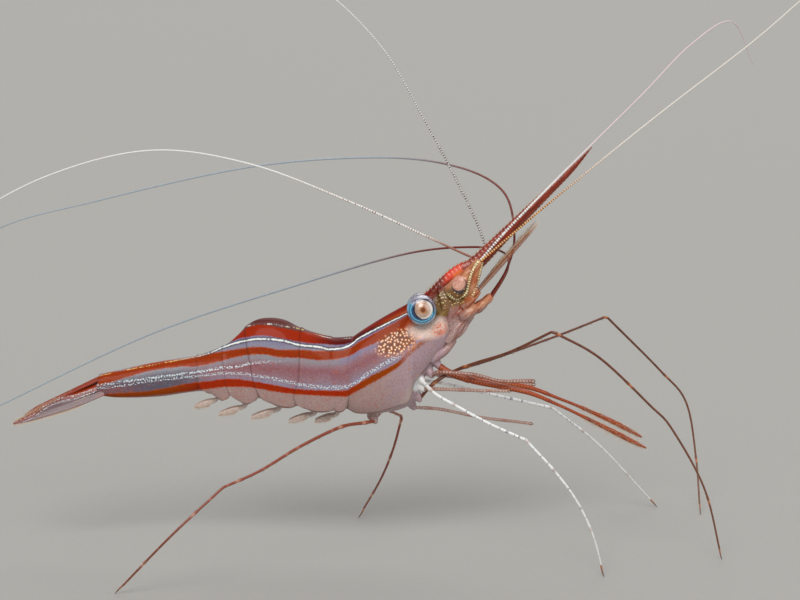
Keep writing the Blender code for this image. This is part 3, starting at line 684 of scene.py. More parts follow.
# ---- shell plates of the abdomen
backLine = [(-55.6, 32.9), (-48.3, 34.6), (-41.0, 35.9), (-37.2, 36.5), (-34.4, 37.5), (-32.0, 38.6),
            (-30.0, 40.3), (-28.2, 42.1), (-26.4, 43.1), (-24.0, 43.4), (-21.4, 43.0), (-19.2, 41.9),
            (-17.0, 40.9), (-12.5, 39.8), (-8.5, 40.0)]
bellyLine = [(-56.0, 29.0), (-53.0, 28.6), (-44.6, 28.8), (-37.5, 29.7), (-34.4, 29.5), (-31.5, 28.4),
             (-26.0, 28.0), (-18.6, 27.1), (-11.2, 26.3), (-9.8, 26.3)]
halfWidths = [(-56.0, 1.75), (-45.0, 2.2), (-37.0, 2.7), (-31.0, 3.5), (-25.0, 4.2), (-16.0, 4.5),
              (-9.0, 4.6)]
plates = {
    # joints as x on the back and x on the belly, from the carapace backward
    "joints": [(-8.8, -10.1), (-12.6, -12.4), (-17.8, -18.2), (-28.4, -25.8), (-32.6, -31.2),
               (-37.2, -36.6), (-55.3, -55.8)],
    "drop": [0.15, 0.5, 0.45, 0.55, 0.5, 0.0],      # how far each side flap hangs below the belly line
    "corner": [0.8, 2.2, 2.0, 1.9, 1.7, 0.6],       # rounding of the flap's corners
    "flare": [0.0, 1.5, 0.0, 0.0, 0.0, 0.0],        # extra length of the flap at each end
    "proud": [0.0, 0.14, 0.03, 0.05, 0.06, 0.0],
    "wrapDeg": [140, 140, 140, 140, 142, 176],
    "last": 5, "grid": (34, 72), "lastGrid": (90, 64),     # the last plate is long, with more rows
    "tuck": 0.5, "overlap": 0.55, "lip": 0.13, "wall": 0.14,
}


def platePoint(front, rear, s, a, k):
    # a point on plate k: s runs from its front edge to its rear edge, a across from flap to flap
    wrap = math.radians(plates["wrapDeg"][k])
    turn = abs(a) * wrap
    h = (1 - math.cos(turn)) / (1 - math.cos(wrap))
    low = easeIn(h, 0.6, 0.95)
    q = min(1.0, max(0.0, (h - 0.68) / 0.32))
    inset = plates["corner"][k] * (1 - math.sqrt(max(0.0, 1 - q * q)))
    flare = plates["flare"][k] * low
    ahead = front[0] + (front[1] - front[0]) * h - inset + flare
    behind = rear[0] + (rear[1] - rear[0]) * h + inset - flare
    x = ahead + (behind - ahead) * s
    back = front[0] + (rear[0] - front[0]) * s
    belly = front[1] + (rear[1] - front[1]) * s
    half = smoothValue(halfWidths, (back + belly) / 2)
    top = smoothValue(backLine, back)
    bottom = smoothValue(bellyLine, belly) - plates["drop"][k] * math.sin(math.pi * s)
    wide = math.sin(turn) ** 0.82 if turn < math.pi / 2 else 1 - 0.16 * ((turn - math.pi / 2) / 0.87) ** 2
    if k == plates["last"]:
        wide = math.sin(turn) ** (0.82 if turn < math.pi / 2 else 0.6)
    lift = plates["proud"][k] + plates["lip"] * easeIn(s, 0.86, 1.0) - 0.22 * easeIn(s, 0.14, 0.0)
    out = Vector((0, math.copysign(math.sin(min(turn, 1.9)), a), math.cos(min(turn, 1.9))))
    return Vector((x, math.copysign(wide * half, a), top + (bottom - top) * h)) + out * lift


def makePlates():
    ends = plates["joints"]
    for k, (front, rear) in enumerate(zip(ends, ends[1:])):
        front = (front[0] + plates["tuck"], front[1] + plates["tuck"])
        rear = (rear[0] - plates["overlap"], rear[1] - plates["overlap"])
        last = k == plates["last"]
        rows, columns = plates["lastGrid"] if last else plates["grid"]

        def place(i, j):
            s, a = i / rows, 2 * j / columns - 1
            return platePoint(front, rear, s, a, k), max(s, 0.0 if last else abs(a))

        bm = growSurface(rows, columns, place, False, False, ("edge",))
        turnOut(bm, lambda p: (p.x, 0, 34))
        name = f"abdomenPlate{k + 1}"
        finishPiece(name, bm, shellLook, (f"abdomen_{k + 1}",), wall=plates["wall"])


makePlates()
print("abdomen plates made")

# ---- carapace
carapace = {
    # (x, z) on the back, (x, z) at the lower edge, half width, width of the crest
    "rings": [((-8.5, 40.0), (-9.7, 26.8), 4.5, 1.0), ((-6.8, 41.2), (-7.8, 26.0), 4.8, 1.0),
              ((-3.6, 43.2), (-4.2, 26.2), 5.0, 0.9), ((-0.6, 44.9), (-0.9, 27.2), 5.0, 0.75),
              ((1.6, 46.1), (1.7, 28.3), 4.8, 0.6), ((3.6, 47.2), (2.8, 31.7), 4.4, 0.45),
              ((5.2, 48.2), (4.9, 34.5), 3.9, 0.36), ((6.3, 49.2), (7.2, 37.3), 3.4, 0.34),
              ((7.3, 50.2), (9.6, 39.8), 2.9, 0.34)],
    "wrapDeg": 151.6, "wall": 0.15, "rows": 150, "columns": 132,
    # front edge in ring numbers by degrees from the back: rostrum root, orbit, spine below it, front corner
    "frontEdge": [(0, 8.0), (10, 8.0), (22, 6.0), (36, 4.9), (52, 4.7), (66, 5.4), (78, 7.2), (86, 8.2),
                  (90, 8.35), (96, 8.0), (110, 7.95), (130, 7.9), (142, 7.8), (148, 7.4), (151.6, 6.9)],
}
ringTables = [[(k, pick(ring)) for k, ring in enumerate(carapace["rings"])] for pick in (
    lambda r: r[0][0], lambda r: r[0][1], lambda r: r[1][0], lambda r: r[1][1], lambda r: r[2],
    lambda r: r[3])]


def carapacePoint(k, degrees, inset=0.0):
    # a point of the shell: k is the ring number, degrees run from the back to the lower edge
    topX, topZ, lowX, lowZ, half, crest = (smoothValue(table, k) for table in ringTables)
    turn = math.radians(abs(degrees))
    share = (1 - math.cos(turn)) / 2
    h = share / 0.94
    narrow = crest + (1 - crest) * easeIn(share, 0.12, 0.54)
    wide = max(0.0, math.sin(turn)) ** (0.85 if share < 0.5 else 0.62)
    y = wide * half * narrow
    point = Vector((topX + (lowX - topX) * h, math.copysign(y, degrees), topZ + (lowZ - topZ) * h))
    return point + Vector((0, -math.copysign(math.sin(turn), degrees), -math.cos(turn))) * inset


def makeCarapace():
    rows, columns, wrap = carapace["rows"], carapace["columns"], carapace["wrapDeg"]

    def place(i, j):
        a = 2 * j / columns - 1
        degrees = a * wrap
        front = smoothValue(carapace["frontEdge"], abs(degrees))
        s = i / rows
        k = -0.32 + (front + 0.32) * s
        rim = 0.10 * easeIn(s, 0.965, 1.0) + 0.08 * easeIn(abs(a), 0.975, 1.0) + 0.1 * easeIn(s, 0.03, 0.0)
        return carapacePoint(k, degrees if a else 1e-6, -rim - 0.05), max(abs(a), s ** 0.5)

    bm = growSurface(rows, columns, place, False, False, ("edge",))
    turnOut(bm, lambda p: (p.x, 0, 38))
    finishPiece("carapaceShell", bm, shellLook, ("carapace",), wall=carapace["wall"])


makeCarapace()
print("carapace made")

# ---- places that several pieces share
def toBody(point):
    # a place of the standing legs, seen from the leaned body
    return hinge @ Matrix.Rotation(-lean, 4, "X") @ hinge.inverted() @ Vector(point[:3])


walkingLegs = {
    # the routes of the upper and lower lengths, and the share of the whole length at each joint
    "whiteLegRight": {
        "nodes": "white_leg_right", "look": "white", "joints": [0.06, 0.16, 0.455, 0.59, 0.83],
        "upper": [(4.2, -3.0, 32.1), (6.6, -6.2, 30.5), (11.0, -8.2, 28.4), (16.4, -10.5, 26.0),
            (22.9, -13.3, 23.7)],
        "lower": [(23.4, -13.6, 23.2), (28.1, -15.6, 18.4), (32.0, -17.6, 13.4), (34.9, -19.3, 7.4),
            (36.9, -20.3, 0.0)]},
    "whiteLegLeft": {
        "nodes": "white_leg_left", "look": "white", "joints": [0.06, 0.16, 0.46, 0.62, 0.85],
        "upper": [(4.1, 0.95, 31.4), (6.8, 2.4, 30.7), (11.3, 4.0, 29.3), (21.5, 9.0, 25.7),
            (29.1, 13.3, 22.9)],
        "lower": [(29.7, 13.8, 22.5), (39.2, 20.0, 13.4), (51.0, 23.2, 0.0)]},
    "brownLegRight": {
        "nodes": "brown_leg_right", "look": "brown", "joints": [0.05, 0.13, 0.36, 0.55, 0.86],
        "upper": [(3.6, -2.2, 28.5), (6.0, -1.9, 31.2), (9.7, -1.2, 33.5), (13.8, -2.6, 35.5),
            (20.2, -5.0, 38.2), (27.6, -7.9, 42.6)],
        "lower": [(28.3, -8.1, 42.5), (36.4, -9.0, 38.0), (45.6, -10.0, 29.4), (49.7, -10.5, 25.0),
            (55.8, -11.6, 13.9), (59.5, -10.4, 0.0)]},
    "brownLegLeft": {
        "nodes": "brown_leg_left", "look": "brown", "joints": [0.05, 0.13, 0.48, 0.68, 0.88],
        "upper": [(3.6, -0.8, 28.3), (6.0, -0.3, 30.9), (9.7, 0.2, 33.2), (17.0, 6.0, 34.1),
            (30.7, 15.0, 36.9), (39.7, 20.8, 39.1)],
        "lower": [(40.4, 21.2, 38.8), (51.1, 25.0, 27.5), (56.6, 26.6, 20.6), (58.6, 24.5, 9.9),
            (58.9, 17.8, 0.0)]},
    "redLegRight": {
        "nodes": "red_leg_right", "look": "red", "joints": [0.05, 0.14, 0.52, 0.68, 0.88],
        "upper": [(-4.6, -3.2, 24.6), (-6.6, -5.2, 24.8), (-11.0, -9.2, 25.0), (-18.1, -16.0, 23.2),
            (-25.0, -22.0, 20.4), (-31.2, -25.8, 18.5)],
        "lower": [(-31.8, -26.2, 18.1), (-40.4, -30.4, 10.8), (-50.5, -29.7, 0.0)]},
    "redLegLeft": {
        "nodes": "red_leg_left", "look": "red", "joints": [0.06, 0.16, 0.52, 0.70, 0.88],
        "upper": [(-4.6, -1.1, 24.4), (-4.4, 3.0, 23.8), (-2.9, 10.0, 23.3), (0.2, 18.3, 20.0)],
        "lower": [(0.3, 18.8, 19.3), (-1.4, 19.0, 12.9), (-3.9, 18.3, 6.9), (-8.2, 15.8, 0.0)]},
}
mouthLimbs = {
    # (x, y, z, radius) from the body outward
    "maxillipedRight": [(7.2, -1.4, 34.5, 0.56), (9.6, -2.5, 33.1, 0.62), (13.8, -3.2, 31.9, 0.6),
        (18.4, -3.8, 31.0, 0.55), (23.9, -4.4, 29.8, 0.45), (28.8, -4.8, 27.8, 0.3),
        (33.1, -5.0, 25.8, 0.3), (39.5, -5.1, 22.6, 0.45), (42.8, -5.1, 20.9, 0.4),
        (45.3, -5.2, 19.7, 0.16)],
    "maxillipedLeft": [(7.2, 1.4, 34.5, 0.56), (9.6, 2.5, 32.9, 0.62), (14.0, 3.2, 31.8, 0.6),
        (18.7, 3.7, 31.0, 0.55), (24.4, 4.3, 30.0, 0.45), (29.7, 4.8, 28.0, 0.3), (33.9, 5.2, 26.3, 0.3),
        (40.0, 5.7, 23.5, 0.45), (43.2, 5.9, 21.8, 0.4), (45.6, 6.0, 20.5, 0.16)],
    "firstClawLimbRight": [(5.9, -1.7, 32.8, 0.4), (7.6, -3.9, 33.6, 0.4), (13.8, -4.8, 33.2, 0.34),
        (18.4, -5.3, 32.1, 0.32), (22.4, -5.4, 32.1, 0.40), (24.2, -5.4, 32.1, 0.36)],
    "firstClawLimbLeft": [(5.9, 1.7, 32.8, 0.4), (8.4, 4.6, 32.3, 0.4), (14.5, 7.4, 31.2, 0.34),
        (19.5, 8.8, 30.6, 0.32), (23.3, 9.4, 30.3, 0.40), (25.1, 9.6, 30.2, 0.36)],
    "secondClawLimbRight": [(4.3, -1.4, 30.2, 0.36), (5.9, -2.7, 30.4, 0.35), (11.0, -4.4, 30.4, 0.33),
        (15.0, -5.2, 30.3, 0.28), (18.4, -5.6, 30.3, 0.3), (19.9, -5.8, 30.3, 0.28)],
    "secondClawLimbLeft": [(2.6, 1.2, 26.6, 0.32), (7.5, 3.0, 26.1, 0.32), (15.0, 5.0, 24.4, 0.28),
        (22.6, 6.5, 23.3, 0.3), (24.6, 6.8, 23.0, 0.28)],
}

# ---- one soft skin: the tissue inside the shell, head front, feeler stems, eye stalks and leg roots
softBody = {
    "voxel": 0.19, "smoothing": 2,
    "belly": [((-6.0, 33.0), (-6.0, 26.8), 3.6), ((-10.0, 33.0), (-10.4, 26.9), 3.7),
              ((-18.0, 33.0), (-18.4, 27.5), 3.7), ((-26.0, 34.0), (-26.0, 28.4), 3.4),
              ((-31.5, 33.5), (-31.5, 28.9), 2.7), ((-37.0, 34.0), (-36.8, 30.1), 2.1),
              ((-46.0, 33.0), (-46.0, 29.3), 1.5), ((-55.6, 31.9), (-55.8, 29.6), 1.25)],
    "breast": [((-9.0, 29.5), (-9.2, 26.3), 2.5), ((-5.0, 30.0), (-5.0, 25.7), 2.7),
               ((-0.6, 30.5), (-0.4, 26.2), 2.6), ((0.8, 32.3), (2.8, 28.0), 2.3),
               ((1.8, 34.8), (3.8, 31.2), 2.2), ((3.8, 37.4), (5.8, 33.8), 2.0),
               ((5.8, 39.5), (7.8, 36.5), 1.6)],
    "headFront": [((6.8, 49.4), (9.0, 39.6), 2.7), ((8.0, 49.4), (10.5, 40.6), 2.55),
                  ((9.6, 48.9), (12.4, 42.6), 2.3), ((10.9, 48.4), (14.4, 44.9), 1.7)],
    # balls from a limb's root inward, as share of the way and radius
    "rootBalls": [(0.0, 0.62), (0.35, 0.85), (0.8, 1.0)], "rootRadius": 0.95,
    # chains of golden beads that run up into the feelers, as (x, z)
    "chains": [[(8.0, 49.0), (8.4, 48.4), (9.2, 47.6), (10.7, 46.9), (12.2, 48.2), (12.7, 50.0),
                (13.1, 51.5),
                (13.8, 53.1), (14.8, 54.4)],
               [(12.6, 46.6), (13.4, 47.9), (14.3, 49.6), (14.7, 51.5), (15.3, 53.6), (16.0, 55.0)]],
}

stems = {
    # (x, y, z, radius); the left one is the right one's mirror image
    "feelerStem": [(8.6, -1.5, 48.4, 1.0), (10.2, -1.9, 49.4, 1.25), (11.2, -2.1, 50.4, 1.2),
        (11.75, -2.15, 51.0, 0.92), (12.0, -2.15, 51.25, 0.98), (12.8, -2.12, 52.0, 0.95),
        (13.15, -2.1, 52.4, 0.74), (13.4, -2.1, 52.7, 0.84), (14.2, -2.1, 53.6, 0.76),
        (14.75, -2.1, 54.1, 0.5)],
    "stemBody": [(9.0, -1.7, 47.6, 1.4), (10.6, -1.9, 48.6, 1.7), (11.9, -2.0, 50.0, 1.4),
        (12.9, -2.1, 51.3, 1.1), (13.8, -2.1, 52.6, 0.95), (14.5, -2.1, 53.6, 0.7)],
    "outerLobe": [(12.4, -2.3, 47.0, 0.95), (13.5, -2.4, 49.0, 0.72), (14.1, -2.45, 50.9, 0.66),
        (14.6, -2.4, 52.6, 0.6), (15.0, -2.5, 53.9, 0.42)],
    "stemScale": [(9.4, -2.6, 47.6, 0.5), (10.6, -3.1, 49.0, 0.42), (11.9, -3.2, 50.8, 0.14)],
    "longFeelerStem": [(11.2, -1.9, 43.6, 1.1), (12.6, -2.2, 44.3, 1.2), (13.6, -2.4, 44.9, 0.85),
        (14.4, -2.5, 45.3, 0.95), (15.3, -2.7, 46.0, 0.85), (15.8, -2.8, 46.5, 0.66),
        (16.3, -2.9, 46.9, 0.7), (17.0, -3.0, 47.6, 0.5)],
    "scaleRoot": [(11.6, -2.1, 45.6, 1.0), (13.0, -2.8, 46.9, 0.9), (14.6, -3.3, 48.6, 0.55)],
    "palp": [(9.4, -1.4, 39.4, 0.42), (10.9, -1.9, 40.2, 0.34), (12.1, -1.7, 41.4, 0.28),
        (12.9, -1.2, 42.8, 0.16)],
    "lip": [(10.6, -0.5, 41.0, 0.7), (12.2, -0.6, 42.6, 0.75), (13.4, -0.9, 44.0, 0.6)],
    "mouthLobe": [(8.6, -1.6, 38.9, 1.0), (10.4, -1.7, 41.2, 1.1), (12.0, -1.5, 43.2, 0.8)],
    "jaw": [(5.6, -1.5, 35.6, 0.9), (8.2, -1.9, 37.3, 0.8), (10.2, -1.3, 39.4, 0.5)],
    "eyeStalk": [(4.6, -0.6, 45.0, 1.1), (4.3, -1.6, 45.1, 1.15), (4.0, -2.4, 45.15, 1.7),
        (4.0, -3.0, 45.15, 2.1)],
}


def ringBody(rings, steps=5, sides=24):
    tables = [[(k, pick(ring)) for k, ring in enumerate(rings)] for pick in (
        lambda r: r[0][0], lambda r: r[0][1], lambda r: r[1][0], lambda r: r[1][1], lambda r: r[2])]

    def place(i, j):
        topX, topZ, lowX, lowZ, half = (smoothValue(table, i / steps) for table in tables)
        angle = 2 * math.pi * j / sides
        h = (1 - math.cos(angle)) / 2
        y = math.copysign(abs(math.sin(angle)) ** 0.8, math.sin(angle)) * half
        return (topX + (lowX - topX) * h, y, topZ + (lowZ - topZ) * h), 0.0

    return growSurface((len(rings) - 1) * steps, sides, place)


def innerHead():
    # the tissue just inside the carapace
    rows, columns = 40, 64

    def place(i, j):
        degrees = 360 * j / columns - 180
        return carapacePoint(1.5 + 6.3 * i / rows, degrees if degrees else 1e-6, 0.42), 0.0

    return growSurface(rows, columns, place)


def taperedLimb(points, step=0.2, sides=12):
    line, _ = smoothRoute(points, step)
    return tubeSurface(line[:, :3], line[:, 3], sides)


def storeChains(bm):
    # how far each point is from the golden chains, and where along them
    far, along = (bm.verts.layers.float.new(layer) for layer in ("chainGap", "chainAt"))
    verts = [vert for vert in bm.verts if vert.co.x > 6.5]
    spots = np.array([(vert.co.x, vert.co.z) for vert in verts])
    gaps, places = np.full(len(verts), 9.0), np.zeros(len(verts))
    for chain in softBody["chains"]:
        line, length = smoothRoute([(x, 0, z) for x, z in chain], 0.08)
        reachAll = np.linalg.norm(spots[:, None] - line[None, :, ::2], axis=2)
        nearest, found = reachAll.argmin(1), reachAll.min(1)
        closer = found < gaps
        gaps[closer], places[closer] = found[closer], nearest[closer] * length / (len(line) - 1)
    for vert in bm.verts:
        vert[far] = 9.0
    for vert, gap, place in zip(verts, gaps, places):
        vert[far], vert[along] = gap, place


def softBodyMesh():
    bm = bmesh.new()
    for part in ("belly", "breast", "headFront"):
        joinInto(bm, ringBody(softBody[part]))
    joinInto(bm, innerHead())
    for points in stems.values():
        joinInto(bm, taperedLimb(points, 0.15, 20))
        joinInto(bm, taperedLimb(mirroredRoute(points), 0.15, 20))
    roots = [toBody(leg["upper"][0]) for leg in walkingLegs.values()]
    roots += [Vector(points[0][:3]) for points in mouthLimbs.values()]
    for root in roots:
        inner = Vector((root.x - 0.8, root.y * 0.45, root.z + 1.2))
        for share, radius in softBody["rootBalls"]:
            bmesh.ops.create_uvsphere(bm, u_segments=14, v_segments=9,
                                      radius=radius * softBody["rootRadius"],
                                      matrix=Matrix.Translation(root.lerp(inner, share)))
    helper = addObject("softBody", asMesh("softBody", bm))
    fused = helper.modifiers.new("fused", "REMESH")
    fused.mode, fused.voxel_size, fused.use_smooth_shade = "VOXEL", softBody["voxel"], True
    bpy.context.view_layer.update()
    graph = bpy.context.evaluated_depsgraph_get()
    skin = bpy.data.meshes.new_from_object(helper.evaluated_get(graph))
    bpy.data.objects.remove(helper, do_unlink=True)
    bm = bmesh.new()
    bm.from_mesh(skin)
    for _ in range(softBody["smoothing"]):
        bmesh.ops.smooth_vert(bm, verts=bm.verts, factor=0.5, use_axis_x=True, use_axis_y=True,
                              use_axis_z=True)
    storeChains(bm)
    return bm


headPaints = {
    "streak": (142, 62, 34), "golden": (112, 78, 30), "goldenDot": (250, 226, 150),
    "chain": (254, 240, 190), "ball": (224, 170, 150), "ballDark": (196, 120, 96),
    "crescent": (40, 44, 58), "stem": (178, 84, 40), "stemPale": (214, 150, 104), "mauve": (150, 110, 106),
    "pale": (196, 168, 160), "leg": (240, 242, 240), "amber": (184, 108, 56),
}
headTones = paints(headPaints)


def skinFinish():
    finish = Finish("softSkin", Coat_Weight=0.35, Coat_Roughness=0.12, IOR=1.42, Subsurface_Weight=0.2,
                    Subsurface_Scale=0.0015, Subsurface_Radius=(1.0, 0.5, 0.4))
    look = bodyPattern(finish)
    x, z, place, fine = look["x"], look["z"], look["place"], look["fine"]
    front = (x + (fine - 0.5) * 1.2).fade(7.4, 9.0)
    flesh = finish.mix(fine.fade(0.3, 0.7), headTones["mauve"], headTones["pale"])
    # brown streaks that run with the stems
    lengthwise = finish.joined(x * 0.22 + z * 0.26, x * 1.3 - z * 1.1, look["y"] * 0.8)
    strand = finish.noise(lengthwise, 1.0, 4.0, 0.6)
    flesh = finish.mix(strand.fade(0.5, 0.66) * 0.65, flesh, headTones["streak"])
    flesh = finish.mix(finish.grains(place, 4.0).fade(0.7, 0.85) * 0.35, flesh, headTones["amber"])
    finish.lay(front * 0.9, flesh)
    rays = finish.noise(finish.stretched(place, (1.2, 1.2, 0.9)), 1.3, 3.0)
    high = (z + (rays - 0.5) * 2.4 - x * 0.25).fade(42.4, 44.2) * front
    finish.lay(high * 0.75, finish.mix(rays, headTones["amber"], headTones["stemPale"]))
    stem = (x * 0.6 + z).fade(56.6, 58.4)
    stemTone = finish.mix(strand.fade(0.38, 0.62), headTones["stemPale"], headTones["stem"])
    finish.lay(stem * 0.85, stemTone)
    lowStem = x.fade(11.0, 13.5) * (z - x * 0.62).fade(35.6, 36.6) * z.fade(49.5, 48.0)
    finish.lay(lowStem * 0.75, stemTone)
    golden = oval(x, z, "golden")
    finish.lay(golden * 0.85, headTones["golden"])
    ball = oval(x, z, "ball")
    crescent = oval(x, z, "crescent")
    finish.lay(crescent * 0.85, headTones["crescent"])
    finish.lay(ball * 0.95, finish.mix(fine.fade(0.4, 0.7), headTones["ball"], headTones["ballDark"]))
    spots = finish.cells(finish.stretched(place, (0.9, 1.0, 1.5)), 2.0, 1.0) + (fine - 0.5) * 0.35
    spots = spots.fade(0.32, 0.2)
    finish.lay(golden * spots * (1 - ball), headTones["goldenDot"])
    gap, at = finish.stored("chainGap"), finish.stored("chainAt")
    bead = (finish.sum("SINE", at * 14.0 + (rays - 0.5) * 9.0) + (fine - 0.5) * 2.4).fade(-0.8, -0.1)
    ends = at.fade(0.4, 2.2)
    chain = (gap + (fine - 0.5) * 0.5).fade(0.24, 0.14) * bead * ends
    halo = gap.fade(0.8, 0.2) * 0.5 * ends
    finish.lay(halo, headTones["golden"])
    finish.lay(chain, headTones["chain"])
    streaks = oval(x, z, "streaks") * rays.fade(0.35, 0.6)
    finish.lay(streaks * 0.8, headTones["stem"])
    redPatch = oval(x, z, "redPatch") * fine.fade(0.42, 0.6)
    finish.lay(redPatch * 0.6, tones["backBright"])
    rootWhite = oval(x, z, "rootWhite") * fine.fade(0.30, 0.42)
    finish.lay(rootWhite * 0.9, headTones["leg"])
    finish.wear(Base_Color=finish.colour, Roughness=look["gloss"],
                Normal=finish.bump(look["relief"] + spots * golden * 0.3 + chain * 0.6, 0.00008, 0.8))
    return finish


skinNodes = ["thorax", "head"] + [f"{part}_{side}" for part in ("eyestalk", "antennule_stem",
                                                                "antenna_stem")
                                  for side in ("right", "left")]
skinLook = skinFinish()
finishPiece("softSkin", softBodyMesh(), skinLook, skinNodes, sharp=0)
print("soft skin made")

# ---- eyes
eyes = {
    "radius": 2.78, "place": (4.0, 4.2, 45.15), "discAt": (0.25, 0.1), "rim": 0.12, "rimAt": 2.2,
    "dish": 0.12, "dishTo": 1.75, "reachDeg": 126, "rows": 96, "columns": 96,
}
eyePaints = {
    "pupil": (118, 58, 10), "pupilRim": (190, 118, 58), "disc": (210, 180, 162),
    "discDark": (184, 140, 114), "paleRing": (236, 230, 222), "darkRing": (22, 26, 44),
    "blue": (16, 148, 206), "blueDeep": (6, 72, 124), "blueLight": (132, 218, 242),
    "lavender": (192, 188, 204), "lavenderDark": (112, 104, 128), "outline": (30, 48, 74),
}


def makeEye(name, node, side, finish):
    rows, columns, radius = eyes["rows"], eyes["columns"], eyes["radius"]
    centre = Vector((eyes["place"][0], eyes["place"][1] * side, eyes["place"][2]))

    def place(i, j):
        polar = math.radians(eyes["reachDeg"]) * max(i, 0.02) / rows
        around = 2 * math.pi * j / columns
        out = radius * math.sin(polar)
        lift = 0.0
        if polar < math.pi / 2:
            lift = eyes["rim"] * math.exp(-((out - eyes["rimAt"]) / 0.26) ** 2)
            lift -= eyes["dish"] * easeIn(out, eyes["dishTo"] + 0.25, eyes["dishTo"] - 0.25)
        far = radius + lift
        return centre + Vector((math.sin(polar) * math.cos(around), side * math.cos(polar),
                                math.sin(polar) * math.sin(around))) * far, out

    finishPiece(name, growSurface(rows, columns, place), finish, (node,), sharp=0)


def eyeFinish():
    finish = Finish("eyeGlass", Coat_Weight=1.0, Coat_Roughness=0.03, Roughness=0.25, IOR=1.5)
    tone = paints(eyePaints)
    place = bodyMillimetres(finish)
    x, _, z = finish.split(place)
    dx, dz = x - eyes["place"][0], z - eyes["place"][2]
    noise = finish.noise(place, 1.7, 4.0, 0.6)
    ripple = (noise - 0.5) * 0.5
    far = finish.sum("SQRT", dx * dx + dz * dz)
    ux, uz = dx - eyes["discAt"][0], dz - eyes["discAt"][1]
    inner = finish.sum("SQRT", ux * ux + uz * uz)
    angle = finish.sum("ARCTAN2", uz, ux)
    streak = finish.noise(finish.joined(angle * 1.5, inner * 0.5, 0.0), 2.6, 3.0)
    # the ring round the disc: deep blue below, lavender above
    top = (dz + dx * 0.25 + ripple * 1.4).fade(0.1, 1.3)
    ring = finish.mix((far + ripple * 0.6).fade(2.0, 2.3), tone["blueDeep"], tone["blue"])
    ring = finish.mix((far + ripple * 0.5).between(1.95, 2.1, 0.08), ring, tone["blueLight"])
    ring = finish.mix((far + ripple * 0.5).between(2.46, 2.62, 0.06) * 0.8, ring, tone["blueLight"])
    above = finish.mix(noise.fade(0.42, 0.62), tone["lavenderDark"], tone["lavender"])
    ring = finish.mix(top, ring, above)
    flecks = finish.cells(place, 3.0, 0.9).fade(0.3, 0.12)
    ring = finish.mix(flecks * 0.5, ring, tone["blueLight"])
    rim = far.fade(2.6, 2.72) * (dx + dz * 0.2).fade(-1.8, 0.6)
    finish.colour = finish.mix(rim, ring, tone["outline"])
    # a thin dark crescent at the upper right and another at the lower left
    upper = inner.between(1.78, 2.02, 0.06) * (ux * 0.7 + uz * 0.8).fade(0.5, 1.2)
    lower = inner.between(1.5, 1.86, 0.08) * (ux * 0.9 + uz * 0.45).fade(-0.7, -1.4)
    finish.lay((upper + lower).atMost(1.0), tone["darkRing"])
    # the disc: a dark spot in pinkish beige with faint rays, pale at its right and lower rim
    swirl = finish.noise(finish.joined(ux * 1.2, uz * 0.8, inner), 1.1, 3.0, 0.6)
    disc = finish.mix(swirl.fade(0.36, 0.62), tone["disc"], tone["discDark"])
    disc = finish.mix(streak.fade(0.45, 0.7) * 0.3, disc, tone["discDark"])
    pale = inner.between(1.34, 1.72, 0.12) * (ux - uz * 0.6).fade(-0.9, 0.5)
    disc = finish.mix(pale * 0.9, disc, tone["paleRing"])
    spot = inner + ripple * 0.35
    disc = finish.mix(spot.fade(0.85, 0.5), disc, tone["pupilRim"])
    disc = finish.mix(spot.fade(0.58, 0.3), disc, tone["pupil"])
    finish.lay(inner.fade(1.76, 1.66) * (1 - lower), disc)
    facets = finish.cells(place, 9.0, 0.15)
    finish.wear(Base_Color=finish.colour, Normal=finish.bump(facets, 0.00001, 0.3))
    return finish


eyeLook = eyeFinish()
makeEye("eyeRight", "eye_right", -1, eyeLook)
makeEye("eyeLeft", "eye_left", 1, eyeLook)
print("eyes made")

# ---- rostrum
rostrum = {
    "top": [(0.8, 45.75), (3.6, 47.4), (5.2, 48.5), (6.3, 49.6), (7.8, 51.1), (9.4, 52.5), (11.0, 53.5),
            (13.2, 54.6), (18.5, 59.5), (25.9, 66.4), (31.5, 71.4), (35.4, 75.1)],
    "depth": [(0.8, 0.5), (5.2, 1.5), (7.8, 2.3), (9.4, 2.9), (11.0, 3.0), (13.2, 2.8), (18.5, 2.2),
              (25.9, 1.6), (31.5, 1.0), (35.4, 0.16)],
    "half": [(0.8, 0.25), (6.0, 0.5), (9.0, 0.55), (18.5, 0.42), (35.4, 0.10)],
    "teeth": 54, "toothHeight": 0.17, "rowsPerTooth": 7, "columns": 16,
}


def rostrumLine():
    line, _ = smoothRoute(rostrum["top"], 0.1)
    count = rostrum["teeth"] * rostrum["rowsPerTooth"]
    picks = np.linspace(0, len(line) - 1, count + 1)
    steps = np.arange(len(line))
    return np.stack([np.interp(picks, steps, line[:, 0]), np.zeros(count + 1),
                     np.interp(picks, steps, line[:, 1])], 1)


def rostrumRing(line, ahead, i, share):
    # share runs 0 at the upper edge to 1 at the lower edge
    up = Vector((-ahead[i][2], 0, ahead[i][0]))
    x = line[i][0]
    depth = smoothValue(rostrum["depth"], x)
    phase = (i % rostrum["rowsPerTooth"]) / (rostrum["rowsPerTooth"] - 1)
    size = rostrum["toothHeight"] * easeIn(x, 0.8, 4.0) * (1 - 0.55 * easeIn(x, 12, 35))
    tooth = size * phase ** 1.6
    lower = tooth * easeIn(x, 12.5, 15.0) * 0.8
    top = Vector(line[i]) + up * (tooth - 0.1)
    low = Vector(line[i]) - up * (depth + lower)
    return top.lerp(low, share), up


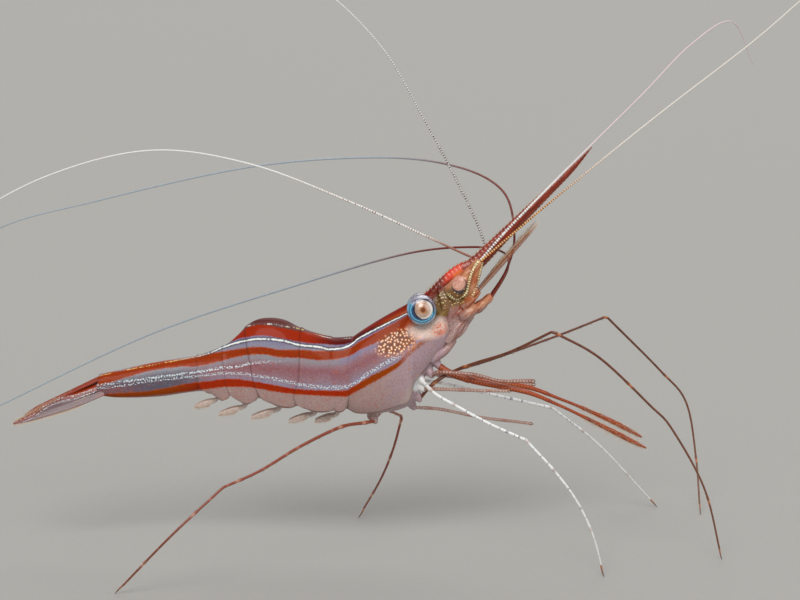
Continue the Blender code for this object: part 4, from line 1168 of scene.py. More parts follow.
def makeRostrum(finish):
    line = rostrumLine()
    ahead = turningFrames(line)[0]
    rows, columns = len(line) - 1, rostrum["columns"]

    def place(i, j):
        angle = 2 * math.pi * j / columns
        share = (1 - math.cos(angle)) / 2
        point, _ = rostrumRing(line, ahead, i, share)
        half = smoothValue(rostrum["half"], line[i][0])
        ridge = 1 + 0.35 * math.exp(-((share - 0.62) / 0.1) ** 2)
        y = math.copysign(abs(math.sin(angle)) ** 1.25, math.sin(angle)) * half * ridge
        return point + Vector((0, y, 0)), share

    bm = growSurface(rows, columns, place, layers=("across",))
    finishPiece("rostrumBlade", bm, finish, ("rostrum",), sharp=35)


rostrumPaints = {
    "deep": (110, 24, 0), "warm": (172, 54, 2), "bright": (226, 60, 18), "orange": (240, 120, 50),
    "pale": (214, 158, 146), "edge": (176, 84, 44), "lower": (134, 70, 34),
}


def rostrumFinish():
    finish = Finish("rostrumRed", Coat_Weight=0.4, Coat_Roughness=0.12, IOR=1.5, Subsurface_Weight=0.08,
                    Subsurface_Scale=0.0008)
    tone = paints(rostrumPaints)
    place = bodyMillimetres(finish)
    x, y, _ = finish.split(place)
    across = finish.stored("across")
    noise = finish.noise(place, 1.1, 3.0)
    fine = finish.noise(place, 5.0, 2.0)
    flow = finish.joined(x * 0.45, across * 5.0, abs(y))
    streak = finish.noise(flow, 1.6, 4.0, 0.6)
    finish.colour = finish.mix(streak.fade(0.36, 0.66), tone["deep"], tone["warm"])
    finish.lay(across.fade(0.75, 0.98) * 0.7, tone["lower"])
    patch = (x + (noise - 0.5) * 1.5).between(8.2, 11.6, 0.6) * across.fade(0.75, 0.45)
    finish.lay(patch, tone["bright"])
    hot = (x + (noise - 0.5)).between(9.8, 11.4, 0.4) * across.between(0.3, 0.65, 0.12)
    finish.lay(hot * 0.9, tone["orange"])
    paleRoot = (x + noise).between(9.4, 13.6, 0.8) * across.fade(0.55, 0.85)
    finish.lay(paleRoot * 0.75, tone["pale"])
    rim = across.fade(0.06, 0.01)
    finish.lay(rim * 0.45, tone["edge"])
    finish.wear(Base_Color=finish.colour, Roughness=0.26 + fine * 0.16,
                Normal=finish.bump(fine + finish.cells(place, 3.2, 0.9).fade(0.3, 0.1) * 0.4, 0.00006, 0.6))
    return finish


rostrumLook = rostrumFinish()
makeRostrum(rostrumLook)
print("rostrum made")

# ---- flat blades: tail fan and the scales beside the feelers
blades = {
    # ends of the midrib, half thickness, face tilt in degrees, half widths to the tip, midrib's share
    "telson": {
        "root": (-54.6, 0.0, 32.6), "tip": (-69.8, 0.0, 25.3), "thick": 0.62, "tilt": 0,
        "widths": [1.35, 1.35, 1.22, 1.02, 0.84, 0.64, 0.45, 0.14], "keel": 0.55},
    "innerUropod": {
        "root": (-54.9, 1.2, 31.2), "tip": (-69.1, 1.45, 25.45), "thick": 0.3, "tilt": 48,
        "widths": [0.9, 1.0, 1.02, 0.96, 0.84, 0.68, 0.45, 0.1], "keel": 0.6},
    "outerUropod": {
        "root": (-54.9, 1.4, 29.9), "tip": (-71.5, 2.8, 23.95), "thick": 0.3, "tilt": 52,
        "widths": [0.9, 1.1, 1.2, 1.16, 1.02, 0.84, 0.6, 0.14], "keel": 0.6},
    "feelerScale": {
        "root": (13.6, 3.3, 47.5), "tip": (25.0, 4.6, 60.45), "thick": 0.18, "tilt": 14,
        "widths": [0.6, 0.95, 1.2, 1.28, 1.22, 1.02, 0.72, 0.16], "keel": 0.6},
}


def bladeFrame(blade):
    start, end = Vector(blade["root"]), Vector(blade["tip"])
    ahead = (end - start).normalized()
    level = Vector((0, 1, 0)).cross(ahead).cross(ahead).normalized()
    if level.y < 0:
        level.negate()
    across = Matrix.Rotation(math.radians(blade["tilt"]), 3, ahead) @ level
    if across.z > level.z:
        across = Matrix.Rotation(math.radians(-blade["tilt"]), 3, ahead) @ level
    return start, end, across, across.cross(ahead)


def bladePoint(blade, share, angle):
    start, end, across, up = bladeFrame(blade)
    widths = [(k / (len(blade["widths"]) - 1), width) for k, width in enumerate(blade["widths"])]
    wide = smoothValue(widths, min(1.0, share))
    u = math.cos(angle)
    ridge = blade["thick"] * (0.35 + blade["keel"] * math.exp(-(u / 0.22) ** 2)) * min(1.0, wide * 2)
    sag = -0.12 * u * u * wide
    return start.lerp(end, share) + across * wide * u + up * (math.sin(angle) * ridge + sag)


def makeBlade(name, blade, side, finish, node):
    rows, columns = 60, 28

    def place(i, j):
        angle = 2 * math.pi * j / columns
        point = bladePoint(blade, i / rows, angle)
        return Vector((point.x, point.y * side, point.z)), abs(math.cos(angle)), i / rows

    bm = growSurface(rows, columns, place, layers=("across", "along"))
    finishPiece(name, bm, finish, (node,), sharp=0)


def fanFinish():
    finish = Finish("tailFan", Coat_Weight=0.3, Coat_Roughness=0.15, IOR=1.45, Subsurface_Weight=0.1,
                    Subsurface_Scale=0.0008)
    look = bodyPattern(finish)
    x, z, fine = look["x"], look["z"], look["fine"]
    dots = curveAlong(finish, x, markings["dotLine"]["line"], (reach["floor"], reach["roof"]))
    upper = (z - dots).fade(-0.7, 0.2)
    base = finish.mix(upper, tones["fanLow"], finish.mix(fine.fade(0.3, 0.7), tones["fan"], tones["band"]))
    finish.lay(x.fade(*spans["fan"]), base)
    ribs = finish.noise(finish.stretched(look["place"], (0.4, 3.0, 3.0)), 2.0, 2.0)
    finish.lay(ribs.fade(0.55, 0.7) * 0.35, tones["speckle"])
    rows = abs(z - dots).fade(0.22, 0.1) + abs(z - dots + 0.6).fade(0.14, 0.06)
    flecks = finish.dots(x, z, 3.3, 0.7, 0.42) * rows * fine.fade(0.38, 0.5) * x.fade(-76.0, -66.0)
    finish.lay(flecks, tones["silver"])
    rim = finish.stored("across").fade(0.93, 0.995)
    finish.lay(rim * 0.4, tones["edge"])
    finish.wear(Base_Color=finish.colour, Roughness=look["gloss"],
                Normal=finish.bump(ribs + flecks * 0.5, 0.00008, 0.7))
    return finish


scalePaints = {"clear": (188, 140, 106), "rim": (136, 54, 18), "rib": (158, 82, 40), "tip": (226, 214, 200)}


def scaleFinish():
    finish = Finish("feelerScaleClear", Coat_Weight=0.4, Coat_Roughness=0.12, IOR=1.42)
    tone = paints(scalePaints)
    place = bodyMillimetres(finish)
    across, along = finish.stored("across"), finish.stored("along")
    noise = finish.noise(place, 1.6, 3.0)
    rim = (across + (noise - 0.5) * 0.1).fade(0.74, 0.9)
    rib = across.fade(0.2, 0.06)
    finish.colour = finish.mix(noise, tone["clear"], tone["rib"])
    finish.lay(rib * 0.7, tone["rib"])
    finish.lay(rim, tone["rim"])
    finish.lay(along.fade(0.86, 1.0) * 0.8, tone["tip"])
    clear = 0.42 + rim * 0.55 + rib * 0.3 + noise * 0.15
    finish.wear(Base_Color=finish.colour, Alpha=clear.atMost(1.0), Roughness=0.25 + noise * 0.15,
                Normal=finish.bump(finish.noise(finish.stretched(place, (1, 2, 1)), 5.0), 0.00005, 0.6))
    return finish


fanLook, scaleLook = fanFinish(), scaleFinish()
makeBlade("telsonBlade", blades["telson"], 1, fanLook, "telson")
for side, word in ((-1, "Right"), (1, "Left")):
    low = word.lower()
    makeBlade(f"innerUropod{word}", blades["innerUropod"], side, fanLook, f"uropod_inner_{low}")
    makeBlade(f"outerUropod{word}", blades["outerUropod"], side, fanLook, f"uropod_outer_{low}")
    makeBlade(f"feelerScale{word}", blades["feelerScale"], side, scaleLook,
              f"antennal_scale_{low}")
print("tail fan and feeler scales made")

# ---- feelers
feelers = {
    # the nodes it stands for, its look, and its route in body millimetres
    "outerFeelerRight": {
        "node": "antennule_outer_right", "look": "goldBeads",
        "route": [(14.5, -2.35, 53.8), (15.1, -2.6, 54.2), (21.4, -2.5, 59.6), (31.3, -3.0, 67.9),
            (47.0, -4.2, 80.7), (63.9, -5.0, 93.8), (74.5, -4.7, 102.9), (85.0, -3.0, 111.3)]},
    "innerFeelerRight": {
        "node": "antennule_inner_right", "look": "whiteBeads",
        "route": [(14.4, -1.8, 53.8), (15.0, -1.6, 54.3), (20.3, -1.6, 60.3), (30.0, -1.5, 70.2),
            (44.4, 1.0, 84.3), (54.2, 5.0, 94.1), (62.5, 9.6, 98.7), (67.3, 15.0, 91.0)]},
    "outerFeelerLeft": {
        "node": "antennule_outer_left", "look": "hairyBeads",
        "route": [(14.5, 2.35, 53.8), (15.0, 2.6, 54.3), (15.5, 2.4, 57.8), (11.2, 2.2, 67.5),
            (4.4, 2.1, 80.3), (-3.7, 3.0, 94.0), (-16.0, 4.9, 105.5), (-31.0, 9.0, 111.8)]},
    "innerFeelerLeft": {
        "node": "antennule_inner_left", "look": "lateBeads",
        "route": [(14.5, 1.8, 53.9), (14.6, 1.35, 54.2), (12.2, 1.8, 55.1), (4.0, 2.1, 58.9),
            (-9.3, 1.5, 64.9), (-27.8, 0.4, 71.9), (-46.0, -0.8, 74.4), (-64.4, -2.6, 69.9),
            (-80.0, -4.1, 61.3), (-92.0, -5.0, 50.0)]},
    "longFeelerLeft": {
        "node": "antenna_left", "look": "redToBlue",
        "route": [(16.8, 3.0, 47.4), (17.15, 3.05, 47.8), (20.0, 2.4, 52.6), (21.3, 2.5, 58.9),
            (19.2, 4.6, 66.9), (10.5, 8.2, 71.5), (-4.5, 13.0, 73.2), (-29.0, 20.5, 71.4),
            (-59.1, 28.5, 64.9), (-81.0, 33.6, 58.7), (-99.0, 49.0, 46.0)]},
    "longFeelerRight": {
        "node": "antenna_right", "look": "redToBlue",
        "route": [(16.8, -3.0, 47.4), (17.15, -3.05, 47.8), (19.8, -2.3, 52.4), (19.4, 1.8, 55.4),
            (13.5, 5.0, 56.4), (1.0, 10.5, 54.9), (-19.3, 18.5, 48.8), (-49.0, 27.0, 38.6),
            (-79.6, 31.5, 24.1), (-99.0, 40.5, 15.0)]},
}
feelerShape = {"radius": [(0, 0.26), (0.15, 0.22), (0.5, 0.18), (0.85, 0.14), (1.0, 0.07)], "ring": 0.5,
               "ringDepth": 0.06, "step": 0.1, "sides": 8}
feelerLooks = {
    # how ringed and how thick; bead, ground and far colours; how much of a ring the bead fills;
    # millimetres along at which beads begin, run together and fade
    "whiteBeads": {
        "rings": 1.0, "bead": (248, 248, 246), "ground": (134, 52, 34), "far": (226, 206, 208),
        "fill": 0.6, "begin": -9.0, "joined": 13, "fade": 24, "thick": 1.0},
    "goldBeads": {
        "rings": 1.0, "bead": (246, 196, 118), "ground": (140, 62, 20), "far": (246, 242, 236),
        "fill": -0.05, "begin": -9.0, "joined": 34, "fade": 24, "thick": 0.78},
    "hairyBeads": {
        "rings": 1.0, "bead": (226, 224, 222), "ground": (92, 74, 76), "far": (240, 240, 238), "fill": 0.2,
        "begin": -9.0, "joined": 60, "fade": 40, "thick": 0.75},
    "lateBeads": {
        "rings": 1.0, "bead": (246, 246, 242), "ground": (160, 104, 84), "far": (238, 236, 234),
        "fill": 0.6, "begin": 6.0, "joined": 34, "fade": 45, "thick": 0.9},
    "redToBlue": {
        "rings": 0.25, "bead": (122, 34, 8), "ground": (96, 20, 2), "far": (170, 186, 196), "fill": 0.5,
        "begin": -9.0, "joined": 12, "fade": 36, "thick": 0.95},
}


def feelerFinish(name, look):
    finish = Finish(name, Coat_Weight=0.3, Coat_Roughness=0.15, IOR=1.45)
    along = finish.stored("along")
    place = finish.here()
    noise = finish.noise(place, 900.0, 2.0)
    phase = finish.sum("SINE", along * (2 * math.pi / feelerShape["ring"]))
    uneven = finish.node("ShaderNodeTexNoise", {"noise_dimensions": "1D"}, {"W": along, "Scale": 1.3},
                         "Fac")
    bead = (phase + (noise - 0.5) * 2.0 + (uneven - 0.5) * 1.8 + look["fill"]).fade(-0.5, 0.3)
    joined = along.fade(look["joined"] * 0.7, look["joined"] * 1.3)
    shown = along.fade(look["begin"], look["begin"] + 8.0)
    finish.colour = finish.mix(bead.atLeast(joined * 0.85) * shown, paint(*look["ground"]),
                               paint(*look["bead"]))
    far = along.fade(look["fade"] * 0.6, look["fade"] * 1.5)
    finish.lay(far * (0.75 + bead * 0.25), paint(*look["far"]))
    finish.wear(Base_Color=finish.colour, Roughness=0.28 + noise * 0.15,
                Normal=finish.bump(phase * look["rings"], 0.00003, 0.5))
    return finish


def makeFeelers():
    finishes = {name: feelerFinish(name + "Feeler", look) for name, look in feelerLooks.items()}
    for name, feeler in feelers.items():
        line, length = smoothRoute(feeler["route"], feelerShape["step"])
        far = np.linspace(0, length, len(line))
        look = feelerLooks[feeler["look"]]
        radii = np.array(sampled(feelerShape["radius"], far / length)) * look["thick"]
        ringDepth = feelerShape["ringDepth"] * look["rings"]
        radii *= 1 + ringDepth * np.sin(far * 2 * math.pi / feelerShape["ring"])
        bm = tubeSurface(line, radii, feelerShape["sides"], values=far[:, None])
        nodes = [f"{feeler['node']}_{part}" for part in (1, 2)]
        finishPiece(name, bm, finishes[feeler["look"]], nodes, sharp=0)


makeFeelers()
print("feelers made")

# ---- walking legs and their claws
legShape = {
    "white": (0.31, 0.25, 0.18), "brown": (0.29, 0.23, 0.17), "red": (0.33, 0.25, 0.18),
    "step": 0.22, "sides": 12, "knob": 0.28, "neck": 0.34, "knobReach": 0.75, "neckReach": 0.16,
    "claw": 2.3, "spineEvery": 2.7, "spine": 0.75,
}
legLooks = {
    "white": {
        "main": (244, 246, 246), "gap": (116, 112, 122), "joint": (204, 184, 176), "far": (216, 216, 214),
        "dash": 0.9, "patches": 0.70},
    "brown": {
        "main": (112, 56, 30), "gap": (84, 40, 24), "joint": (204, 118, 62), "far": (122, 74, 46),
        "dash": 0.0, "patches": 0.6},
    "red": {
        "main": (142, 62, 38), "gap": (178, 112, 88), "joint": (204, 150, 124), "far": (116, 62, 42),
        "dash": 0.0, "patches": 0.62},
}


def legFinish(name, look):
    finish = Finish(name, Coat_Weight=0.35, Coat_Roughness=0.12, IOR=1.48)
    along, joint, share = finish.stored("along"), finish.stored("joint"), finish.stored("share")
    place = finish.here()
    noise = finish.noise(place, 900.0, 3.0)
    wave = finish.node("ShaderNodeTexNoise", {"noise_dimensions": "1D"},
                       {"W": along, "Scale": 0.7, "Detail": 2.0}, "Fac")
    breaks = finish.node("ShaderNodeTexVoronoi",
                         {"voronoi_dimensions": "1D", "feature": "DISTANCE_TO_EDGE"},
                         {"W": along + noise * 0.5, "Scale": 0.55, "Randomness": 1.0}, "Distance")
    gap = (breaks + (noise - 0.5) * 0.06).fade(0.05, 0.02) * look["dash"] * noise.fade(0.36, 0.5)
    gap = gap.atLeast((wave + (noise - 0.5) * 0.2).fade(look["patches"], look["patches"] + 0.05) * 0.8)
    finish.colour = finish.mix(gap, paint(*look["main"]), paint(*look["gap"]))
    finish.lay(share.fade(0.5, 0.95) * 0.7, paint(*look["far"]))
    finish.lay(joint * 0.85, paint(*look["joint"]))
    finish.lay(noise.fade(0.5, 0.8) * 0.3, paint(*look["gap"]))
    rings = finish.sum("SINE", along * 13.0)
    finish.wear(Base_Color=finish.colour, Roughness=0.28 + noise * 0.2,
                Normal=finish.bump(noise + rings * 0.25 - gap * 0.6, 0.00004, 0.7))
    return finish


clawPaints = {"root": (170, 108, 74), "tip": (82, 40, 22)}


def clawFinish():
    finish = Finish("clawHorn", Coat_Weight=0.5, Coat_Roughness=0.1, IOR=1.5)
    along = finish.stored("along")
    place = finish.here()
    noise = finish.noise(finish.stretched(place, (1, 1, 0.3)), 1500.0, 2.0)
    finish.colour = finish.mix((along + (noise - 0.5) * 0.3).fade(0.2, 0.9), paint(*clawPaints["root"]),
                               paint(*clawPaints["tip"]))
    finish.wear(Base_Color=finish.colour, Roughness=0.24 + noise * 0.2,
                Normal=finish.bump(noise, 0.00003, 0.5))
    return finish


def jointedRadii(far, joints, ends):
    # swollen just before each joint, narrow in it
    share = far / far[-1]
    wide, knee, thin = ends
    radii = np.interp(share, [0, 0.5, 1], [wide, knee, thin])
    near = np.full(len(far), 9.0)
    for joint in joints:
        gap = far - joint * far[-1]
        radii *= 1 + legShape["knob"] * np.exp(-((gap + 0.35) / legShape["knobReach"]) ** 2)
        radii *= 1 - legShape["neck"] * np.exp(-(gap / legShape["neckReach"]) ** 2)
        near = np.minimum(near, abs(gap))
    return radii, np.exp(-(near / 0.42) ** 2)


def legRoute(leg):
    upper, _ = smoothRoute(leg["upper"], legShape["step"])
    lower, _ = smoothRoute(leg["lower"], legShape["step"])
    line = np.vstack([upper, lower])
    far = np.concatenate([[0], np.cumsum(np.linalg.norm(np.diff(line, axis=0), axis=1))])
    wanted = np.linspace(0, far[-1], round(far[-1] / legShape["step"]) + 1)
    return np.stack([np.interp(wanted, far, column) for column in line.T], 1), wanted


def makeLegs():
    finishes = {name: legFinish(name + "Leg", look) for name, look in legLooks.items()}
    horn = clawFinish()
    for name, leg in walkingLegs.items():
        line, far = legRoute(leg)
        radii, joint = jointedRadii(far, leg["joints"], legShape[leg["look"]])
        share = far / far[-1]
        end = int(np.searchsorted(far, far[-1] - legShape["claw"]))
        values = np.stack([far, joint, share], 1)
        bm = tubeSurface(line[:end + 1], radii[:end + 1], legShape["sides"], values=values[:end + 1],
                         layers=("along", "joint", "share"))
        ahead, side, _ = turningFrames(line)
        hip, knee = leg["joints"][1], leg["joints"][2]
        for at in np.arange(hip * far[-1] + 2, knee * far[-1] - 0.8, legShape["spineEvery"]):
            k = int(np.searchsorted(far, at))
            out = Vector((0, 0, -1)) + Vector(ahead[k]) * ahead[k][2]
            out = (out.normalized() * 0.8 + Vector(ahead[k]) * 0.7).normalized()
            root = Vector(line[k])
            addSpine(bm, root, root + out * (radii[k] + legShape["spine"] * 0.6), 0.09)
        finishPiece(name, bm, finishes[leg["look"]],
                    (f"{leg['nodes']}_upper", f"{leg['nodes']}_lower"), place=standing, sharp=0)
        tip = line[end - 1:]
        count = len(tip)
        tipRadii = radii[end - 1] * np.interp(np.linspace(0, 1, count), [0, 0.25, 0.7, 1],
                                              [0.86, 0.92, 0.6, 0.16])
        clawLine = tip + np.outer(np.sin(np.linspace(0, math.pi, count)) * 0.12, side[-1])
        bm = tubeSurface(clawLine, tipRadii, 12)
        finishPiece(name + "Claw", bm, horn, place=standing, sharp=0)


makeLegs()
print("walking legs and claws made")

# ---- mouthparts and the two pairs of small pincers
limbLooks = {
    "maxilliped": {
        "main": (164, 62, 4), "dot": (226, 146, 76), "edge": (128, 38, 0), "slot": "red",
        "joints": [0.16, 0.53, 0.72], "clear": 1.0},
    "firstClawLimb": {
        "main": (176, 124, 108), "dot": (248, 246, 238), "edge": (140, 66, 44), "slot": "clear",
        "joints": [0.14, 0.46, 0.74], "clear": 0.5},
    "secondClawLimb": {
        "main": (190, 146, 130), "dot": (244, 240, 232), "edge": (156, 86, 64), "slot": "clear",
        "joints": [0.14, 0.48, 0.78], "clear": 0.5},
}


def limbFinish(name, look):
    finish = Finish(name + "Limb", Coat_Weight=0.35, Coat_Roughness=0.15, IOR=1.46)
    along, joint, around = finish.stored("along"), finish.stored("joint"), finish.stored("around")
    place = finish.here()
    noise = finish.noise(place, 800.0, 3.0)
    dots = (finish.sum("SINE", along * 11.0) + (noise - 0.5) * 1.2).fade(0.1, 0.7)
    rows = finish.sum("COSINE", around * (2 * math.pi * 4)).fade(0.35, 0.8)
    finish.colour = finish.mix(noise.fade(0.35, 0.7) * 0.6, paint(*look["main"]), paint(*look["edge"]))
    finish.lay(dots * rows * 0.85, paint(*look["dot"]))
    finish.lay(joint * 0.6, paint(*look["edge"]))
    if look["clear"] < 1:
        finish.wear(Alpha=(dots * rows * 0.5 + joint * 0.3 + noise * 0.2 + look["clear"]).atMost(1.0))
    finish.wear(Base_Color=finish.colour, Roughness=0.3 + noise * 0.15,
                Normal=finish.bump(noise + dots * rows * 0.4, 0.00005, 0.6))
    return finish


def limbTube(points, joints, flat=0.8, sides=14):
    line, length = smoothRoute(points, 0.2)
    far = np.linspace(0, length, len(line))
    swell, joint = jointedRadii(far, joints, (1, 1, 1))
    radii = line[:, 3] * (0.45 + 0.55 * swell)
    ahead, across, up = turningFrames(line[:, :3])
    last = len(line) - 1

    def place(i, j):
        angle = 2 * math.pi * j / sides
        point = line[i, :3] + radii[i] * (across[i] * math.cos(angle) * flat + up[i] * math.sin(angle))
        return point, far[i], joint[i], j / sides

    return growSurface(last, sides, place, layers=("along", "joint", "around")), line, ahead, up


def addPincer(bm, line, ahead, up, size):
    # a fixed and a movable finger at the limb's end
    root, forward, rise = Vector(line[-1, :3]), Vector(ahead[-1]), Vector(up[-1])
    for turn, long in ((1, 1.0), (-1, 0.92)):
        start = root + rise * turn * size * 0.42 - forward * size * 0.3
        knots = [start, start + forward * size * long + rise * turn * size * 0.15,
                 start + forward * size * 2.1 * long - rise * turn * size * 0.3]
        points = [(*knot, radius) for knot, radius in zip(knots, (size * 0.42, size * 0.34, size * 0.08))]
        joinInto(bm, taperedLimb(points, 0.08, 8))


def makeMouthLimbs():
    finishes = {name: limbFinish(name, look) for name, look in limbLooks.items()}
    pincers = clawFinish()
    nodes = {"maxilliped": "maxilliped", "firstClawLimb": "cheliped_1", "secondClawLimb": "cheliped_2"}
    for name, points in mouthLimbs.items():
        word = "Right" if name.endswith("Right") else "Left"
        kind = name[:-len(word)]
        look = limbLooks[kind]
        bm, line, ahead, up = limbTube(points, look["joints"])
        finishPiece(name, bm, finishes[kind], (f"{nodes[kind]}_{word.lower()}",), sharp=0)
        if kind != "maxilliped":
            bm = bmesh.new()
            bm.verts.layers.float.new("along")
            addPincer(bm, line, ahead, up, 0.42 if kind == "firstClawLimb" else 0.34)
            finishPiece(name.replace("Limb", "Pincer"), bm, pincers, sharp=0)


makeMouthLimbs()
print("mouthparts and pincers made")

# ---- swimmerets
swimmerets = {
    # x and length of each pair, how far apart, how far below the belly line
    "pairs": [(-11.4, 4.4), (-15.6, 5.0), (-22.2, 5.4), (-28.6, 5.0), (-33.9, 4.2)],
    "spread": 1.5, "drop": [0.1, 0.4, 0.4, 0.5, 0.5],
}


def swimmeretPaths(k, side):
    # stem, outer and inner paddle as (x, y, z, half width)
    x, length = swimmerets["pairs"][k]
    z = smoothValue(bellyLine, x) - swimmerets["drop"][k] - 0.75
    y = swimmerets["spread"] * side
    stem = [(x + 0.5, y * 0.5, z + 1.3, 0.45), (x, y * 0.75, z + 0.3, 0.45),
            (x - 0.22 * length, y, z - 0.05 * length, 0.4)]
    outer = [(x - 0.15 * length, y, z - 0.02 * length, 0.22),
             (x - 0.45 * length, y * 1.12, z - 0.12 * length, 0.55),
             (x - 0.75 * length, y * 1.18, z - 0.2 * length, 0.46),
             (x - 1.02 * length, y * 1.15, z - 0.26 * length, 0.08)]
    inner = [(p[0] + 0.1, p[1] * 0.72, p[2] + 0.2, p[3] * 0.8) for p in outer]
    return stem, outer, inner


def paddle(points, flat=0.32, sides=12):
    line, _ = smoothRoute(points, 0.15)

    def place(i, j):
        angle = 2 * math.pi * j / sides
        point = Vector(line[i, :3]) + Vector((0, math.sin(angle) * flat, math.cos(angle))) * line[i, 3]
        return point, abs(math.cos(angle))

    return growSurface(len(line) - 1, sides, place, layers=("across",))


swimmeretPaints = {"base": (216, 190, 180), "pale": (232, 218, 208), "edge": (196, 112, 66),
                   "dot": (240, 222, 180)}


def paddleFinish():
    finish = Finish("swimmeretClear", Coat_Weight=0.3, Coat_Roughness=0.15, IOR=1.42)
    tone = paints(swimmeretPaints)
    place = bodyMillimetres(finish)
    across = finish.stored("across")
    noise = finish.noise(place, 2.2, 3.0)
    dots = finish.cells(place, 2.6, 0.9).fade(0.3, 0.14)
    finish.colour = finish.mix(noise.fade(0.35, 0.65), tone["base"], tone["pale"])
    finish.lay(across.fade(0.8, 1.0) * 0.6, tone["edge"])
    finish.lay(dots * 0.6, tone["dot"])
    clear = 0.42 + across.fade(0.7, 1.0) * 0.3
    finish.wear(Base_Color=finish.colour, Alpha=clear, Roughness=0.3 + noise * 0.15,
                Normal=finish.bump(noise + dots * 0.3, 0.00006, 0.6))
    return finish


def makeSwimmerets():
    finish = paddleFinish()
    for k in range(len(swimmerets["pairs"])):
        bm = bmesh.new()
        bm.verts.layers.float.new("across")
        for side in (-1, 1):
            stem, outer, inner = swimmeretPaths(k, side)
            joinInto(bm, paddle(stem, 0.8))
            joinInto(bm, paddle(outer))
            joinInto(bm, paddle(inner))
        finishPiece(f"swimmeretPair{k + 1}", bm, finish, (f"swimmerets_{k + 1}",), sharp=0)


makeSwimmerets()
print("swimmerets made")

# ---- bristles: solid hairs in fringes, each fringe one joined mesh
bristles = {"sides": 3, "rings": 4, "patch": 0.003, "seed": 11}
rostrumFringes = [
    # share across the blade, how many hairs, where they start along it, length
    (0.02, 420, 0.03, 1.25), (0.98, 200, 0.38, 0.8)]
fringes = {
    # where hairs start and end along a blade or limb, length, number, thickness, how far they hang below
    "telson": {"low": 0.72, "long": 1.0, "count": 70},
    "uropod": {"low": 0.2, "long": 1.2, "count": 150},
    "feelerScale": {"low": 0.3, "long": 2.1, "count": 170, "edges": (math.pi,)},
    "maxilliped": {"low": 0.68, "high": 0.99, "long": 1.25, "count": 420, "below": 0.6},
    "clawLimb": {"low": 0.3, "high": 0.98, "long": 0.4, "count": 90, "radius": 0.016},
    "walkingLeg": {"low": 0.2, "high": 0.97, "long": 0.42, "count": 170, "radius": 0.016},
    "feeler": {"low": 0.03, "high": 0.3, "long": 0.55, "count": 420, "radius": 0.016},
    "swimmeret": {"low": 0.25, "high": 0.98, "long": 0.9, "count": 60, "below": 1.2},
}
bristlePaints = {"amber": (206, 158, 112), "pale": (236, 228, 214), "dark": (88, 70, 66)}
chance = np.random.default_rng(bristles["seed"])


def bristleFinish(name, root, tip):
    finish = Finish(name, Roughness=0.35, IOR=1.45, Coat_Weight=0.2)
    share = finish.stored("share")
    place = finish.here()
    noise = finish.noise(place, 1200.0, 2.0)
    finish.colour = finish.mix((share + (noise - 0.5) * 0.3).fade(0.1, 0.9), paint(*root), paint(*tip))
    finish.wear(Base_Color=finish.colour, Normal=finish.bump(noise, 0.00001, 0.4))
    return finish


def growBristles(name, roots, leans, curls, lengths, unwrap, finish, radius=0.024, place=leaning):
    # leans and curls are the directions at root and tip; unwrap is each root's place on its piece's surface
    roots, leans, curls = (np.array(rows, float) for rows in (roots, leans, curls))
    lengths = np.array(lengths, float)[:, None]
    leans /= np.linalg.norm(leans, axis=1)[:, None]
    curls /= np.linalg.norm(curls, axis=1)[:, None]
    count, rings, sides = len(roots), bristles["rings"], bristles["sides"]
    side = np.cross(leans, (0.31, 0.87, 0.38))
    side /= np.linalg.norm(side, axis=1)[:, None]
    other = np.cross(leans, side)
    points, shares = [], []
    for ring in range(rings):
        t = ring / rings
        spine = roots + lengths * (leans * (t - 0.5 * t * t) + curls * 0.5 * t * t)
        for corner in range(sides):
            angle = 2 * math.pi * corner / sides
            out = side * math.cos(angle) + other * math.sin(angle)
            points.append(spine + radius * (1 - 0.75 * t) * out)
            shares.append(t)
    points.append(roots + lengths * (leans + curls) * 0.5)
    shares.append(1.0)
    points = np.stack(points, 1)
    flat = (np.c_[points.reshape(-1, 3), np.ones(points.shape[0] * points.shape[1])]
            @ np.array(place).T)[:, :3] * mm
    faces, corners = [], []
    for ring in range(rings):
        for corner in range(sides):
            a, b = ring * sides + corner, ring * sides + (corner + 1) % sides
            u, v = corner / sides, ring / rings
            if ring < rings - 1:
                faces.append([a, b, b + sides, a + sides])
                corners.append([(u, v), (u + 1 / sides, v), (u + 1 / sides, v + 1 / rings),
                                (u, v + 1 / rings)])
            else:
                faces.append([a, b, rings * sides])
                corners.append([(u, v), (u + 1 / sides, v), (u + 0.5 / sides, 1.0)])
    faces.append(list(range(sides))[::-1])
    corners.append([(0.0, 0.0), (0.5, 0.0), (0.5, 0.5)])
    each = points.shape[1]
    mesh = bpy.data.meshes.new(name)
    allFaces = [[k * each + corner for corner in face] for k in range(count) for face in faces]
    mesh.from_pydata(flat.tolist(), [], allFaces)
    offsets = np.array([corner for face in corners for corner in face]) * bristles["patch"]
    unwrap = np.array(unwrap, float)
    mesh.uv_layers.new(name="OFBake").uv.foreach_set(
        "vector", (unwrap[:, None] + offsets[None]).astype(np.float32).ravel())
    stored = mesh.attributes.new("share", "FLOAT", "POINT")
    stored.data.foreach_set("value", np.tile(shares, count).astype(np.float32))
    finishMesh(name, mesh, finish)


def spread(count, low, high, loose=0.5):
    # evenly spaced places with a little chance in them
    step = (high - low) / count
    return low + step * (np.arange(count) + 0.5 + loose * (chance.random(count) - 0.5))


def rowUnwrap(shares, edges):
    # an edge has its own band of three staggered rows, so that patches stay apart
    rows = 0.3 + 0.4 * np.array(edges) + 0.012 * (np.arange(len(shares)) % 3)
    return np.stack([0.02 + 0.95 * np.clip(shares, 0, 1), rows], 1)


